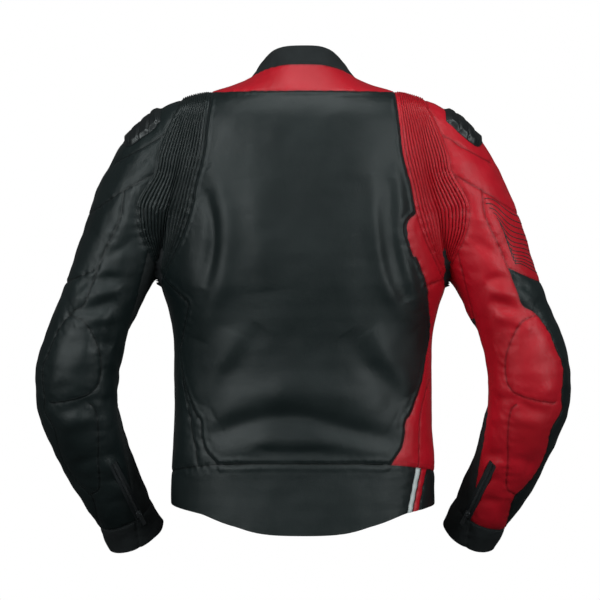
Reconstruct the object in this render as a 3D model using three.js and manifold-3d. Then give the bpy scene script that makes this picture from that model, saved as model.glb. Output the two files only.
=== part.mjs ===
// Leather riding jacket, built from sewn panels over a hollow body.
// Units are millimetres. +Z is up, the wearer faces +Y and the wearer's right arm is at +X.
// The origin is the middle of the neck opening, where the stem of a clothes hanger passes through.
import * as THREE from "three";
import { mergeVertices } from "three/addons/utils/BufferGeometryUtils.js";
import Module from "manifold-3d";

const wasm = await Module();
wasm.setup();

// ---------- driving dimensions ----------
const seamGap = 0.4; // between two panels that are sewn edge to edge
const leather = 2.4; // leather with its bonded backing
const liningGap = 0.4;
const liningThickness = 0.8;
const armourThickness = 7;
const protectorThickness = 9;

const armholeX = 212; // the sleeve joins the body on this plane
const neckHalfWidth = 80;
const shoulderHalfWidth = 196;
const chestHalfWidth = 209;
const waistHalfWidth = 187;
const hemHalfWidth = 192;
const chestBack = 133; // how far the back stands behind the neck's middle
const waistBack = 117;
const squareness = 2.4; // exponent of the body's cross sections

const collarTopBack = 46;
const hemBack = -661;
const hemSide = -618;
const hemFront = -606;
const waistSeamBack = -558;
const waistSeamSide = -572;

// The front edge is an arc, so that a zip slider can run along it.
const frontArcRadius = 1780;
const frontArcHeight = -306; // height at which the front stands furthest out
const frontDepth = 122;

const cuffHeight = 44;
const elbowHeight = -452; // of the hinge in the elbow
const elbowReach = 55; // the soft elbow runs this far above and below its hinge
const frontHingeX = 150; // each front bends open about an upright line here
const frontFrom = 45; // the fronts begin this far in front of the neck's middle
const yokeBottom = -95; // lower edge of the yoke on the shoulder

const zipTape = 7; // half width of a zip with its tape
const zipBead = 2.6; // width of the closed teeth
const zipRise = 0.9; // how far the teeth stand out of the tape
const runningGap = 0.4;
const sliderWidth = 7.2;
const sliderLength = 11;
const sliderThickness = 2.8;
const pullLength = 20;
const pullThickness = 1.2;
const frontZipTop = -34;
const frontZipBottom = -598;
const pocketZipX = 112;
const pocketZipTop = -440;
const pocketZipLength = 130;
const cuffZipLength = 108;

const red = 0xb81822;
const black = 0x1d2526;
const cloth = 0x101517;
const white = 0xd8dcdc;
const metal = 0x3a3d40;
const foam = 0x6e7276;

// ---------- small tools ----------
const v2 = (x, y) => new THREE.Vector2(x, y);
const v3 = (x, y, z) => new THREE.Vector3(x, y, z);

// Cubic through the rows of a table, with slopes that never overshoot. Rows run from low to high.
function smooth(rows, column, at) {
  const n = rows.length;
  if (at <= rows[0][0]) return rows[0][column];
  if (at >= rows[n - 1][0]) return rows[n - 1][column];
  let i = 0;
  while (rows[i + 1][0] < at) i++;
  const step = (k) => (rows[k + 1][column] - rows[k][column]) / (rows[k + 1][0] - rows[k][0]);
  const slope = (k) => {
    if (k === 0) return step(0);
    if (k === n - 1) return step(n - 2);
    const a = step(k - 1);
    const b = step(k);
    return a * b <= 0 ? 0 : (2 * a * b) / (a + b);
  };
  const h = rows[i + 1][0] - rows[i][0];
  const t = (at - rows[i][0]) / h;
  const a = rows[i][column];
  const b = rows[i + 1][column];
  const s = t * t * (3 - 2 * t);
  return a + (b - a) * s + h * (slope(i) * t * (1 - t) ** 2 - slope(i + 1) * t * t * (1 - t));
}

function solidOf(geometry) {
  const plain = geometry.clone();
  for (const name of Object.keys(plain.attributes)) if (name !== "position") plain.deleteAttribute(name);
  const merged = mergeVertices(plain, 1e-4);
  const mesh = new wasm.Mesh({
    numProp: 3,
    vertProperties: new Float32Array(merged.attributes.position.array),
    triVerts: new Uint32Array(merged.index.array),
  });
  const made = new wasm.Manifold(mesh);
  if (made.volume() >= 0) return made;
  for (let i = 0; i < mesh.triVerts.length; i += 3) {
    [mesh.triVerts[i + 1], mesh.triVerts[i + 2]] = [mesh.triVerts[i + 2], mesh.triVerts[i + 1]];
  }
  return new wasm.Manifold(mesh);
}

function geometryOf(solid) {
  const mesh = solid.getMesh();
  const places = new Float32Array(mesh.numVert * 3);
  for (let i = 0; i < mesh.numVert; i++) {
    places.set(mesh.vertProperties.subarray(i * mesh.numProp, i * mesh.numProp + 3), i * 3);
  }
  return new THREE.BufferGeometry()
    .setAttribute("position", new THREE.BufferAttribute(places, 3))
    .setIndex(new THREE.BufferAttribute(mesh.triVerts, 1));
}

// A closed solid through rings of points, each ring with as many points.
function loft(rings) {
  const count = rings[0].length;
  const points = rings.flat();
  const faces = [];
  for (let i = 0; i + 1 < rings.length; i++) {
    for (let j = 0; j < count; j++) {
      const a = i * count + j;
      const b = i * count + ((j + 1) % count);
      faces.push(a, b, a + count, b, b + count, a + count);
    }
  }
  for (const [ring, turn] of [[0, 1], [rings.length - 1, 0]]) {
    const middle = rings[ring].reduce((sum, p) => sum.add(p), v3(0, 0, 0)).divideScalar(count);
    points.push(middle);
    for (let j = 0; j < count; j++) {
      const a = ring * count + j;
      const b = ring * count + ((j + 1) % count);
      faces.push(points.length - 1, turn ? b : a, turn ? a : b);
    }
  }
  const places = new Float32Array(points.flatMap((p) => [p.x, p.y, p.z]));
  return solidOf(new THREE.BufferGeometry().setAttribute("position", new THREE.BufferAttribute(places, 3)).setIndex(faces));
}

// The same rings, moved inwards by a distance along the surface's normals.
function inset(rings, distance) {
  if (distance === 0) return rings;
  const count = rings[0].length;
  return rings.map((ring, i) => {
    const below = rings[Math.max(0, i - 1)];
    const above = rings[Math.min(rings.length - 1, i + 1)];
    return ring.map((p, j) => {
      const along = ring[(j + 1) % count].clone().sub(ring[(j + count - 1) % count]);
      const up = above[j].clone().sub(below[j]);
      return p.clone().addScaledVector(along.cross(up).normalize(), -distance);
    });
  });
}

const side = { back: new THREE.Matrix4(), flank: new THREE.Matrix4() };
side.back.makeBasis(v3(1, 0, 0), v3(0, 0, 1), v3(0, -1, 0)); // outline (x, z), pushed along -Y
side.flank.makeBasis(v3(0, 1, 0), v3(0, 0, 1), v3(1, 0, 0)); // outline (y, z), pushed along +X

// The outline grown outwards by a distance.
function grown(points, distance) {
  const turn = THREE.ShapeUtils.isClockWise(points) ? -1 : 1;
  return points.map((p, i) => {
    const before = points[(i + points.length - 1) % points.length];
    const after = points[(i + 1) % points.length];
    const a = p.clone().sub(before).normalize();
    const b = after.clone().sub(p).normalize();
    const out = v2(a.y + b.y, -a.x - b.x);
    if (out.lengthSq() < 1e-6) return p.clone();
    out.normalize();
    const lean = Math.max(0.5, out.dot(v2(a.y, -a.x)));
    return p.clone().addScaledVector(out, (turn * distance) / lean);
  });
}

// A solid whose outline is seen from behind (x, z) or from the wearer's right (y, z).
function prism(view, points, from, to) {
  const shape = new THREE.ExtrudeGeometry(new THREE.Shape(points), { depth: to - from, bevelEnabled: false });
  shape.applyMatrix4(side[view]);
  if (view === "back") shape.translate(0, to, 0);
  else shape.translate(from, 0, 0);
  return solidOf(shape);
}

// A smooth line through a few points, with some more between each pair.
function curve(points, between = 2) {
  const line = new THREE.SplineCurve(points.map(([x, y]) => v2(x, y)));
  return line.getPoints((points.length - 1) * between);
}
const mirrored = (points) => points.map((p) => v2(-p.x, p.y)).reverse();

function box(x0, x1, y0, y1, z0, z1) {
  const made = new THREE.BoxGeometry(x1 - x0, y1 - y0, z1 - z0);
  return solidOf(made.translate((x0 + x1) / 2, (y0 + y1) / 2, (z0 + z1) / 2));
}

// ---------- the body ----------
const frontAt = (z) => {
  const rise = z - frontArcHeight;
  return frontDepth - frontArcRadius + Math.sqrt(frontArcRadius ** 2 - rise ** 2);
};

// height, half width, back depth
const bodyRows = [
  [hemBack - 30, hemHalfWidth, waistBack + 1],
  [-612, hemHalfWidth, waistBack], // level with the next row, so that the trouser zip lies on a flat face
  [-560, hemHalfWidth - 1, waistBack],
  [-500, waistHalfWidth + 1, waistBack - 1],
  [-440, waistHalfWidth, waistBack],
  [-390, waistHalfWidth, waistBack + 4],
  [-340, waistHalfWidth + 8, chestBack - 7],
  [-292, chestHalfWidth - 1, chestBack - 2],
  [-230, chestHalfWidth, chestBack],
  [-150, chestHalfWidth - 3, chestBack - 3],
  [-95, shoulderHalfWidth + 5, chestBack - 9],
  [-62, shoulderHalfWidth, chestBack - 17],
  [-40, shoulderHalfWidth - 14, chestBack - 26],
  [-24, shoulderHalfWidth - 50, chestBack - 37],
  [-12, neckHalfWidth + 24, chestBack - 46],
  [0, neckHalfWidth - 3, chestBack - 53],
  [20, neckHalfWidth - 18, chestBack - 62],
  [collarTopBack + 15, neckHalfWidth - 26, chestBack - 72],
];
const bodySteps = 32;

function bodyRing(z) {
  const halfWidth = smooth(bodyRows, 1, z);
  const back = smooth(bodyRows, 2, z);
  const front = frontAt(z);
  const power = 2 / squareness;
  return Array.from({ length: bodySteps }, (_, i) => {
    const turn = ((i + 0.5) / bodySteps) * 2 * Math.PI;
    const s = Math.sin(turn);
    const c = Math.cos(turn);
    const depth = c > 0 ? back : front;
    return v3(halfWidth * Math.sign(s) * Math.abs(s) ** power, -depth * Math.sign(c) * Math.abs(c) ** power, z);
  });
}

// ---------- the sleeves ----------
// distance out, distance forward, height, half width across, half depth
const sleeveRows = [
  [118, 0, -78, 62, 70],
  [168, 0, -102, 68, 76],
  [205, -1, -132, 67, 78],
  [229, -3, -172, 66, 76],
  [248, -5, -214, 66, 72],
  [266, -8, -258, 62, 68],
  [288, -11, -308, 57, 64],
  [307, -14, -352, 56, 61],
  [321, -16, -394, 57, 60],
  [329, -14, -430, 59, 60],
  [329, -7, -468, 59, 58],
  [320, 5, -506, 56, 55],
  [307, 23, -544, 52, 51],
  [292, 43, -580, 48, 47],
  [277, 62, -610, 45, 44],
  [264, 77, -635, 43, 41],
  [255, 88, -653, 43, 40],
  [246, 98, -670, 43, 40],
];
const sleeveSteps = 14;
const armOut = armholeX - 212; // a wider body carries the sleeves further out

function sleeveRings() {
  const path = sleeveRows.map(([x, y, z]) => v3(x + armOut, y, z));
  return path.map((p, i) => {
    const along = path[Math.min(path.length - 1, i + 1)].clone().sub(path[Math.max(0, i - 1)]).normalize();
    const across = v3(-along.z, 0, along.x).normalize();
    const deep = along.clone().cross(across);
    const [, , , halfWidth, halfDepth] = sleeveRows[i];
    return Array.from({ length: sleeveSteps }, (_, j) => {
      const turn = ((j + 0.5) / sleeveSteps) * 2 * Math.PI;
      return p
        .clone()
        .addScaledVector(across, halfWidth * Math.cos(turn))
        .addScaledVector(deep, halfDepth * Math.sin(turn));
    });
  });
}

const bodyHeights = bodyRows.map(([z]) => z);
const bodyRings = bodyHeights.map((z) => bodyRing(z));
const rightSleeve = sleeveRings();
const leftSleeve = rightSleeve.map((ring) => ring.map((p) => v3(-p.x, p.y, p.z)).reverse());

const cores = new Map();
// The whole jacket as one solid, moved inwards by a distance.
function core(distance) {
  if (!cores.has(distance)) {
    const parts = [bodyRings, rightSleeve, leftSleeve].map((rings) => loft(inset(rings, distance)));
    cores.set(distance, parts[0].add(parts[1]).add(parts[2]));
  }
  return cores.get(distance);
}
const layer = (outer, inner) => core(outer).subtract(core(inner));

// ---------- seam lines ----------
const far = 900;
const hemLine = curve([[-160, hemBack - 6], [-118, hemBack], [-106, hemBack + 14], [-84, hemBack + 31],
  [-30, hemSide - 2], [40, hemSide + 5], [160, hemFront]], 1);
const waistLine = curve([[-160, waistSeamBack + 1], [-116, waistSeamBack], [-60, waistSeamBack - 8],
  [0, waistSeamSide], [60, waistSeamSide], [160, waistSeamSide + 2]], 1);
const collarEdgeSeam = curve([[-160, 22], [-74, 17], [-40, 7], [0, -1], [40, -14], [90, -40], [160, -60]], 1);
const collarTop = curve([[-160, collarTopBack + 16], [-66, collarTopBack - 2], [-30, 25], [0, 13], [40, -2], [90, -20], [160, -40]], 1);

// What lies below or above a line seen from the wearer's right.
const below = (line) => [v2(-300, -far), ...[line[0].clone().setX(-300), ...line, line.at(-1).clone().setX(300)], v2(300, -far)];
const flankCut = (line, distance = 0, reach = 500) =>
  prism("flank", below(line.map((p) => v2(p.x, p.y + distance))), -reach, reach);

const backTop = -22;
const backEdge = curve([[133, backTop + 60], [133, backTop], [139, -70], [144, -115], [156, -162], [163, -198],
  [176, -235], [188, -260], [203, -291]], 1);
const accordionEdge = curve([[176, 20], [178, -34], [189, -60], [200, -85], [209, -112], [214, -139], [228, -163],
  [238, -183], [239, -204], [234, -230], [222, -255], [208, -284]], 1);
const backLower = curve([[203, -291], [176, -318], [165, -330], [172, -365], [178, -400], [172, -440], [158, -480],
  [146, -497], [146, -520], [126, -556], [118, -575]], 1);
// On the right a gusset of the side panel reaches in below the accordion.
const backNotch = 6;
const backRight = curve([[148, -213], [148, -230], [158, -259], [164, -264], [178, -300], [181, -327], [184, -355],
  [183, -382], [178, -407], [173, -438], [164, -465], [155, -488], [146, -498], [146, -520], [142, -536], [132, -551],
  [118, -575]], 1);

const accordionOutline = [...accordionEdge, ...backEdge.slice().reverse()];
const backOutline = [
  ...backEdge.slice(1, backNotch),
  ...backRight,
  ...mirrored(backLower).slice(0, -1),
  ...mirrored(backEdge).slice(0, -1),
];

// ---------- cutting ----------
const group = new THREE.Group();
function place(name, solid, colour, roughness = 0.5, metalness = 0) {
  const bodies = solid.decompose().sort((a, b) => b.volume() - a.volume());
  const material = new THREE.MeshStandardMaterial({ color: colour, roughness, metalness });
  const mesh = new THREE.Mesh(geometryOf(bodies[0]), material);
  mesh.name = name;
  group.add(mesh);
}
const half = seamGap / 2;

// Splits a solid along a line seen from the wearer's right.
const split = (solid, line) => [solid.intersect(flankCut(line, -half)), solid.subtract(flankCut(line, half))];
// Splits a solid by an outline seen from behind, on the side of the jacket that lies between two depths.
function carve(solid, outline, from, to) {
  const inside = solid.intersect(prism("back", outline, from, to));
  const outside = solid.subtract(prism("back", grown(outline, seamGap), from - seamGap, to + seamGap));
  return [inside, outside];
}
const within = (solid, x0, x1, y0 = -far, y1 = far, z0 = -far, z1 = far) => solid.intersect(box(x0, x1, y0, y1, z0, z1));
const flip = (solid) => solid.mirror([1, 0, 0]);

// ---------- outer panels ----------
// The sleeves end lower than the hem, just outside it.
let shell = layer(0, leather).subtract(flankCut(hemLine, 0, hemHalfWidth + 0.8));
shell = shell.intersect(flankCut(collarTop));
const pieces = {};
[pieces.right, shell] = carve(shell, accordionOutline, -300, -2);
[pieces.left, shell] = carve(shell, mirrored(accordionOutline), -300, -2);
place("accordion_panel_right", pieces.right, red);
place("accordion_panel_left", pieces.left, black);

// The cuffs hang below the hem's corners, where the sleeves reach further in than the armholes.
const armSpace = box(armholeX, far, -400, 400, -far, far).add(box(frontHingeX, far, 0, 400, -far, hemBack + 16));
const bodySpace = box(-armholeX + seamGap, armholeX - seamGap, -400, 400, hemBack - 5, far)
  .subtract(box(frontHingeX, far, 0, 400, -far, hemBack + 17))
  .subtract(box(-far, -frontHingeX, 0, 400, -far, hemBack + 17));
const sleeveSolid = { right: shell.intersect(armSpace), left: shell.intersect(flip(armSpace)) };
const body = shell.intersect(bodySpace);

const [hemBand, aboveHem] = split(body, waistLine);
const [belowCollar, collar] = split(aboveHem, collarEdgeSeam);

// Fronts and back part along an upright plane on each side of the body.
const frontSpace = box(zipTape + seamGap, frontHingeX - half, frontFrom + half, far, -far, far);
const frontCut = box(-frontHingeX - half, frontHingeX + half, frontFrom - half, far, -far, far);
const frontOf = (solid) => ({ right: solid.intersect(frontSpace), left: solid.intersect(flip(frontSpace)) });
const backOf = (solid) => solid.subtract(frontCut);

const hemFronts = frontOf(hemBand);
const collarFronts = frontOf(collar);
const fronts = frontOf(belowCollar);
const colourOf = { right: red, left: black };

place("collar_trim_back", backOf(collar), cloth, 0.85);

// Two slanting stripes on the right of the hem.
const stripeLean = 33; // how far a stripe runs inwards from top to foot
const stripe = (top, width) => {
  const foot = top - stripeLean;
  return [v2(top, waistSeamBack + 30), v2(foot, hemBack - 20), v2(foot + width, hemBack - 20),
    v2(top + width, waistSeamBack + 30)];
};
let hem = backOf(hemBand);
[pieces.white, hem] = carve(hem, stripe(hemHalfWidth - 21, 7), -300, -2);
[pieces.red, hem] = carve(hem, stripe(hemHalfWidth - 13, 8), -300, -2);
place("hem_stripe_white", pieces.white, white);
place("hem_stripe_red", pieces.red, red);
place("hem_band_back", hem, black);

let root = backOf(belowCollar);
[pieces.back, root] = carve(root, backOutline, -300, -2);
place("back_panel", pieces.back, black);
place("yoke_panel", within(root, -far, far, -far, far, yokeBottom + half, far), red);
const flanks = within(root, -far, far, -far, far, -far, yokeBottom - half);
place("side_panel_right", within(flanks, 1, far), red);
place("side_panel_left", within(flanks, -far, -1), black);

// ---------- zips ----------
// Teeth on their tape, with x across, y along and z out of the jacket.
const barTeeth = (length) =>
  box(-zipTape, zipTape, 0, length, -leather + 0.2, 0).add(box(-zipBead / 2, zipBead / 2, 0, length, -1, zipRise));
const sliderTop = runningGap + sliderThickness;
const pullAt = sliderTop + 1; // height of the pull's hinge
function zipSlider() {
  const plate = box(-sliderWidth / 2, sliderWidth / 2, -sliderLength / 2, sliderLength / 2, runningGap, sliderTop);
  const channel = box(-zipBead / 2 - runningGap, zipBead / 2 + runningGap, -far, far, 0, zipRise + runningGap);
  const bridge = box(-0.9, 0.9, -3.5, 3.5, sliderTop - 0.5, pullAt + 2.2);
  const eye = box(-far, far, -2.1, 2.1, sliderTop, pullAt + 1);
  return plate.subtract(channel).add(bridge.subtract(eye));
}
function zipPull() {
  const flat = pullThickness / 2;
  const tab = box(-3.2, 3.2, -pullLength, flat, pullAt - flat, pullAt + flat);
  return tab.subtract(box(-1.5, 1.5, -4.6, -flat, -far, far));
}

// The frame of a zip: its origin, the way along it and the way out of the jacket.
function zipFrame(origin, along, out) {
  const across = along.clone().cross(out).normalize();
  const outward = across.clone().cross(along).normalize();
  return new THREE.Matrix4().makeBasis(across, along.clone().normalize(), outward).setPosition(origin);
}
const onZip = (solid, frame) => solid.transform(frame.elements.slice(0));
const zipFrames = {}; // where each slider rests

// The front zip follows the arc of the fronts.
const frontAngle = (z) => Math.asin((z - frontArcHeight) / frontArcRadius);
function frontPlace(angle, x, out) {
  const reach = frontArcRadius + out;
  return v3(x, frontDepth - frontArcRadius + reach * Math.cos(angle), frontArcHeight + reach * Math.sin(angle));
}
function frontTeeth(sign, bottom, top) {
  const from = frontAngle(bottom);
  const step = (frontAngle(top) - from) / 12;
  const section = [[0.2, -leather + 0.2], [zipTape, -leather + 0.2], [zipTape, 0], [zipBead / 2, 0],
    [zipBead / 2, zipRise], [0.2, zipRise]];
  const rings = Array.from({ length: 13 }, (_, i) => section.map(([x, out]) => frontPlace(from + i * step, sign * x, out)));
  return loft(rings);
}
// The left teeth end short of the slider's two resting places, so that the fronts part freely.
place("zip_teeth_right", frontTeeth(1, frontZipBottom, frontZipTop), metal, 0.4, 0.6);
place("zip_teeth_left", frontTeeth(-1, frontZipBottom + sliderLength + 3, frontZipTop - sliderLength - 3), metal, 0.4, 0.6);
const sliderAngle = frontAngle(frontZipTop - sliderLength / 2 - 1);
zipFrames.front = zipFrame(
  frontPlace(sliderAngle, 0, 0),
  v3(0, -Math.sin(sliderAngle), Math.cos(sliderAngle)),
  v3(0, Math.cos(sliderAngle), Math.sin(sliderAngle)),
);
place("zip_slider", onZip(zipSlider(), zipFrames.front), metal, 0.35, 0.8);
place("zip_pull", onZip(zipPull(), zipFrames.front), metal, 0.35, 0.8);

// A straight zip let into a panel: its slot is cut from the panels around it.
function letIn(frame, length) {
  const slot = box(-zipTape - seamGap, zipTape + seamGap, -seamGap, length + seamGap, -leather - 14, leather + 14);
  return onZip(slot, frame);
}
function addZip(name, frame, length, from, sideName) {
  zipFrames[name] = frame;
  place(`${name}_teeth_${sideName}`, onZip(barTeeth(length), frame), metal, 0.4, 0.6);
  const start = new THREE.Matrix4().makeTranslation(0, from, 0);
  const rest = frame.clone().multiply(start);
  place(`${name}_slider_${sideName}`, onZip(zipSlider(), rest), metal, 0.35, 0.8);
  place(`${name}_pull_${sideName}`, onZip(zipPull(), rest), metal, 0.35, 0.8);
  zipFrames[`${name}_${sideName}`] = rest;
}

// Where the body's surface stands in front, at a place across and a height.
function frontSurface(x, z) {
  const halfWidth = smooth(bodyRows, 1, z);
  return frontAt(z) * (1 - (Math.abs(x) / halfWidth) ** squareness) ** (1 / squareness);
}
const pocketFoot = pocketZipTop - pocketZipLength;
for (const [name, sign] of [["right", 1], ["left", -1]]) {
  const x = sign * pocketZipX;
  const foot = v3(x, frontSurface(x, pocketFoot) + 0.6, pocketFoot);
  const top = v3(x, frontSurface(x, pocketZipTop) + 0.6, pocketZipTop);
  const lean = (frontSurface(x - 5, pocketZipTop) - frontSurface(x + 5, pocketZipTop)) / 10;
  const frame = zipFrame(foot, top.sub(foot), v3(lean, 1, 0));
  fronts[name] = fronts[name].subtract(letIn(frame, pocketZipLength));
  addZip("pocket_zip", frame, pocketZipLength, pocketZipLength - sliderLength, name);
  place(`front_panel_${name}`, fronts[name], colourOf[name]);
  place(`hem_band_front_${name}`, hemFronts[name], black);
  place(`collar_front_${name}`, collarFronts[name], cloth, 0.85);
}

// ---------- sleeves ----------
// Everything on the inner or outer side of a line down the sleeve.
const beside = (line, x) => [v2(x, line[0].y), ...line, v2(x, line.at(-1).y)];
const upperSeam = curve([[200, -60], [214, -190], [228, -225], [233, -245], [248, -322], [264, -410]], 1);
const lowerSeam = curve([[268, -490], [262, -520], [256, -560], [249, -610], [238, -700], [230, -740]], 1);
const edgeSeam = curve([[366, -490], [360, -511], [355, -540], [346, -565], [326, -594], [309, -612], [303, -635],
  [299, -660], [290, -740]], 1);
const elbowTop = elbowHeight + elbowReach;

// Everything past a plane across the end of a sleeve.
function sleeveEnd(sign, height) {
  const rows = sleeveRows.slice(-3);
  const along = v3(rows[2][0] - rows[0][0], rows[2][1] - rows[0][1], rows[2][2] - rows[0][2]).normalize();
  const end = v3(rows[2][0] + armOut, rows[2][1], rows[2][2]).addScaledVector(along, -height);
  const made = new THREE.BoxGeometry(200, 200, 200).translate(0, 0, 100);
  made.applyQuaternion(new THREE.Quaternion().setFromUnitVectors(v3(0, 0, 1), along));
  const past = solidOf(made.translate(end.x, end.y, end.z));
  return sign > 0 ? past : flip(past);
}
const elbowFoot = elbowHeight - elbowReach;

for (const [name, sign] of [["right", 1], ["left", -1]]) {
  const shape = (points) => (sign > 0 ? points : mirrored(points));
  const zipRing = sign > 0 ? rightSleeve : leftSleeve;
  const zipColumn = sign > 0 ? 4 : sleeveSteps - 5;
  const foot = zipRing.at(-3)[zipColumn].clone();
  const upper = zipRing.at(-6)[zipColumn].clone();
  const along = upper.clone().sub(foot).normalize();
  const middle = zipRing.at(-4).reduce((sum, p) => sum.add(p), v3(0, 0, 0)).divideScalar(sleeveSteps);
  const cuffFrame = zipFrame(foot, along, zipRing.at(-4)[zipColumn].clone().sub(middle));

  const whole = sleeveSolid[name];
  place(`cuff_${name}`, whole.intersect(sleeveEnd(sign, cuffHeight)), cloth, 0.85);
  const sleeve = whole.subtract(sleeveEnd(sign, cuffHeight + seamGap)).subtract(letIn(cuffFrame, cuffZipLength));
  addZip("cuff_zip", cuffFrame, cuffZipLength, sliderLength / 2 + 1.5, name);

  const top = within(sleeve, -far, far, -far, far, elbowTop + half, far);
  const [inner, outer] = carve(top, beside(shape(upperSeam), sign * 60), -300, 300);
  place(`upper_sleeve_outer_${name}`, outer, colourOf[name]);
  place(`upper_sleeve_inner_${name}`, inner, cloth, 0.8);
  place(`elbow_panel_${name}`, within(sleeve, -far, far, -far, far, elbowFoot + half, elbowTop - half), colourOf[name]);
  const low = within(sleeve, -far, far, -far, far, -far, elbowFoot - half);
  const [under, over] = carve(low, beside(shape(lowerSeam), sign * 60), -300, 300);
  const [edge, back] = carve(over, beside(shape(edgeSeam), sign * 500), -300, 300);
  place(`forearm_inner_${name}`, under, cloth, 0.8);
  place(`forearm_edge_${name}`, edge, black);
  place(`forearm_outer_${name}`, back, colourOf[name]);

  // Protectors: a hard cup outside on the shoulder, foam inside on the shoulder and the elbow.
  const mirror = (solid) => (sign > 0 ? solid : flip(solid));
  const cupSpace = mirror(box(armholeX + 3, armholeX + 58, -58, 46, -150, far));
  place(`shoulder_cup_${name}`, layer(-4.5, -0.4).intersect(cupSpace), black, 0.4);
  const padSpace = mirror(box(armholeX + 2, armholeX + 72, -52, 52, -190, far));
  place(`shoulder_armour_${name}`, layer(leather + 0.4, leather + 0.4 + armourThickness).intersect(padSpace), foam, 0.8);
  const elbowSpace = mirror(box(armholeX + 90, far, -far, -12, elbowFoot - 64, elbowHeight + 18));
  place(`elbow_armour_${name}`, layer(leather + 0.4, leather + 0.4 + armourThickness).intersect(elbowSpace), foam, 0.8);
}

// ---------- inside the body ----------
const liningTop = yokeBottom + 12;
const liningHeights = bodyHeights.filter((z) => z > -620 && z < liningTop + 40);
const liningRings = liningHeights.map((z) => bodyRing(z));
const liningAt = (distance) => loft(inset(liningRings, distance));
const outerFace = leather + liningGap;
const innerFace = outerFace + liningThickness;
let lining = liningAt(outerFace).subtract(liningAt(innerFace));
lining = within(lining, -far, far, -far, far, -598, liningTop);
for (const x of [[150, far], [-far, -150]]) lining = lining.subtract(box(x[0], x[1], -far, far, -300, far));
const liningFront = box(zipTape + 6, frontHingeX - 1, frontFrom + 1, far, -far, far);
place("lining_back", lining.subtract(box(-frontHingeX - 1, frontHingeX + 1, frontFrom - 1, far, -far, far)), cloth, 0.9);
place("lining_front_right", lining.intersect(liningFront), cloth, 0.9);
place("lining_front_left", lining.intersect(flip(liningFront)), cloth, 0.9);

const shield = curve([[0, -112], [60, -116], [98, -140], [104, -190], [96, -300], [80, -420], [52, -478], [0, -486]], 1);
const shieldOutline = [...shield, ...mirrored(shield).slice(1, -1)];
const protector = liningAt(innerFace + 0.4).subtract(liningAt(innerFace + 0.4 + protectorThickness));
place("back_protector", protector.intersect(prism("back", shieldOutline, -300, -30)), foam, 0.8);

const loop = layer(leather + 0.3, leather + 1.5);
place("hanger_loop", within(loop, -36, 36, -far, -40, -16, -8), cloth, 0.8);

// The zip that joins trousers lies on the lining inside the back of the hem.
const trouserZipHeight = -584;
const trouserZip = liningAt(innerFace + 0.4).subtract(liningAt(innerFace + 2.6));
place("trouser_zip", within(trouserZip, -84, 84, -far, 0, trouserZipHeight - 7, trouserZipHeight + 7), metal, 0.5, 0.3);

export { zipFrames };
export default group;
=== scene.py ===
# A leather riding jacket seen from behind, filled as if worn, in a white studio.
# Lengths are in millimetres until a mesh is made; x is the wearer's right, y the front, z up.
import math

import bpy
import numpy as np
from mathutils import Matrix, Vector
from mathutils.bvhtree import BVHTree
from mathutils.kdtree import KDTree


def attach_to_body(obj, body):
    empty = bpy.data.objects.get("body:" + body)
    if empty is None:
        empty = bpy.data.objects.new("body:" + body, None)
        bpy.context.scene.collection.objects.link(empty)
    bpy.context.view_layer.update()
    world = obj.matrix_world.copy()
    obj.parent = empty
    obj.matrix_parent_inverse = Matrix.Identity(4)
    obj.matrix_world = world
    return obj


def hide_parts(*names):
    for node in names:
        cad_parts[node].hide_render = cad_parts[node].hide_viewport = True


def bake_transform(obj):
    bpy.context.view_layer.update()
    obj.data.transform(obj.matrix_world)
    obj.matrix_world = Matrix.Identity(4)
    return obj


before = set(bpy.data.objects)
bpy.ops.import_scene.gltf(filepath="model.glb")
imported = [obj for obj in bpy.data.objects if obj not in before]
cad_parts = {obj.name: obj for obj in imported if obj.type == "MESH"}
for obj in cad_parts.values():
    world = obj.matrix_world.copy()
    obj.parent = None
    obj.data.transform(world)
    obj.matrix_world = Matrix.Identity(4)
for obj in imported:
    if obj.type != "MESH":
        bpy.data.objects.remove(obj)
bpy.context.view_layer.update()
metres = 0.001


# ---------- lines and lofts ----------
# A cubic through the rows of a table whose slopes never overshoot; the first column is the place.
def follow(rows, at):
    rows = np.array(rows, float)
    rows = rows[np.argsort(rows[:, 0])]
    at = np.clip(np.atleast_1d(np.asarray(at, float)), rows[0, 0], rows[-1, 0])
    i = np.clip(np.searchsorted(rows[:, 0], at, side="right") - 1, 0, len(rows) - 2)
    step = np.diff(rows[:, 1:], axis=0) / np.diff(rows[:, 0])[:, None]
    product = step[1:] * step[:-1]
    total = step[1:] + step[:-1]
    inner = np.where(product > 0, 2 * product / np.where(total == 0, 1, total), 0)
    slope = np.vstack([step[:1], inner, step[-1:]])
    h = (rows[i + 1, 0] - rows[i, 0])[:, None]
    t = (at - rows[i, 0])[:, None] / h
    a, b = rows[i, 1:], rows[i + 1, 1:]
    s = t * t * (3 - 2 * t)
    made = a + (b - a) * s + h * (slope[i] * t * (1 - t) ** 2 - slope[i + 1] * t * t * (1 - t))
    return made[:, 0] if made.shape[1] == 1 else made


def ease(low, high, value):
    t = np.clip((value - low) / (high - low), 0, 1)
    return t * t * (3 - 2 * t)


# A smooth line through a few points, with a number of steps between each pair.
def bend(points, steps=5):
    p = np.array(points, float)
    p = np.vstack([2 * p[0] - p[1], p, 2 * p[-1] - p[-2]])
    made = []
    for a, b, c, d in zip(p[:-3], p[1:-2], p[2:-1], p[3:]):
        for t in np.arange(steps) / steps:
            made.append(0.5 * (2 * b + (c - a) * t + (2 * a - 5 * b + 4 * c - d) * t * t
                               + (3 * b - a - 3 * c + d) * t ** 3))
    return np.array(made + [p[-2]])


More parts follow.
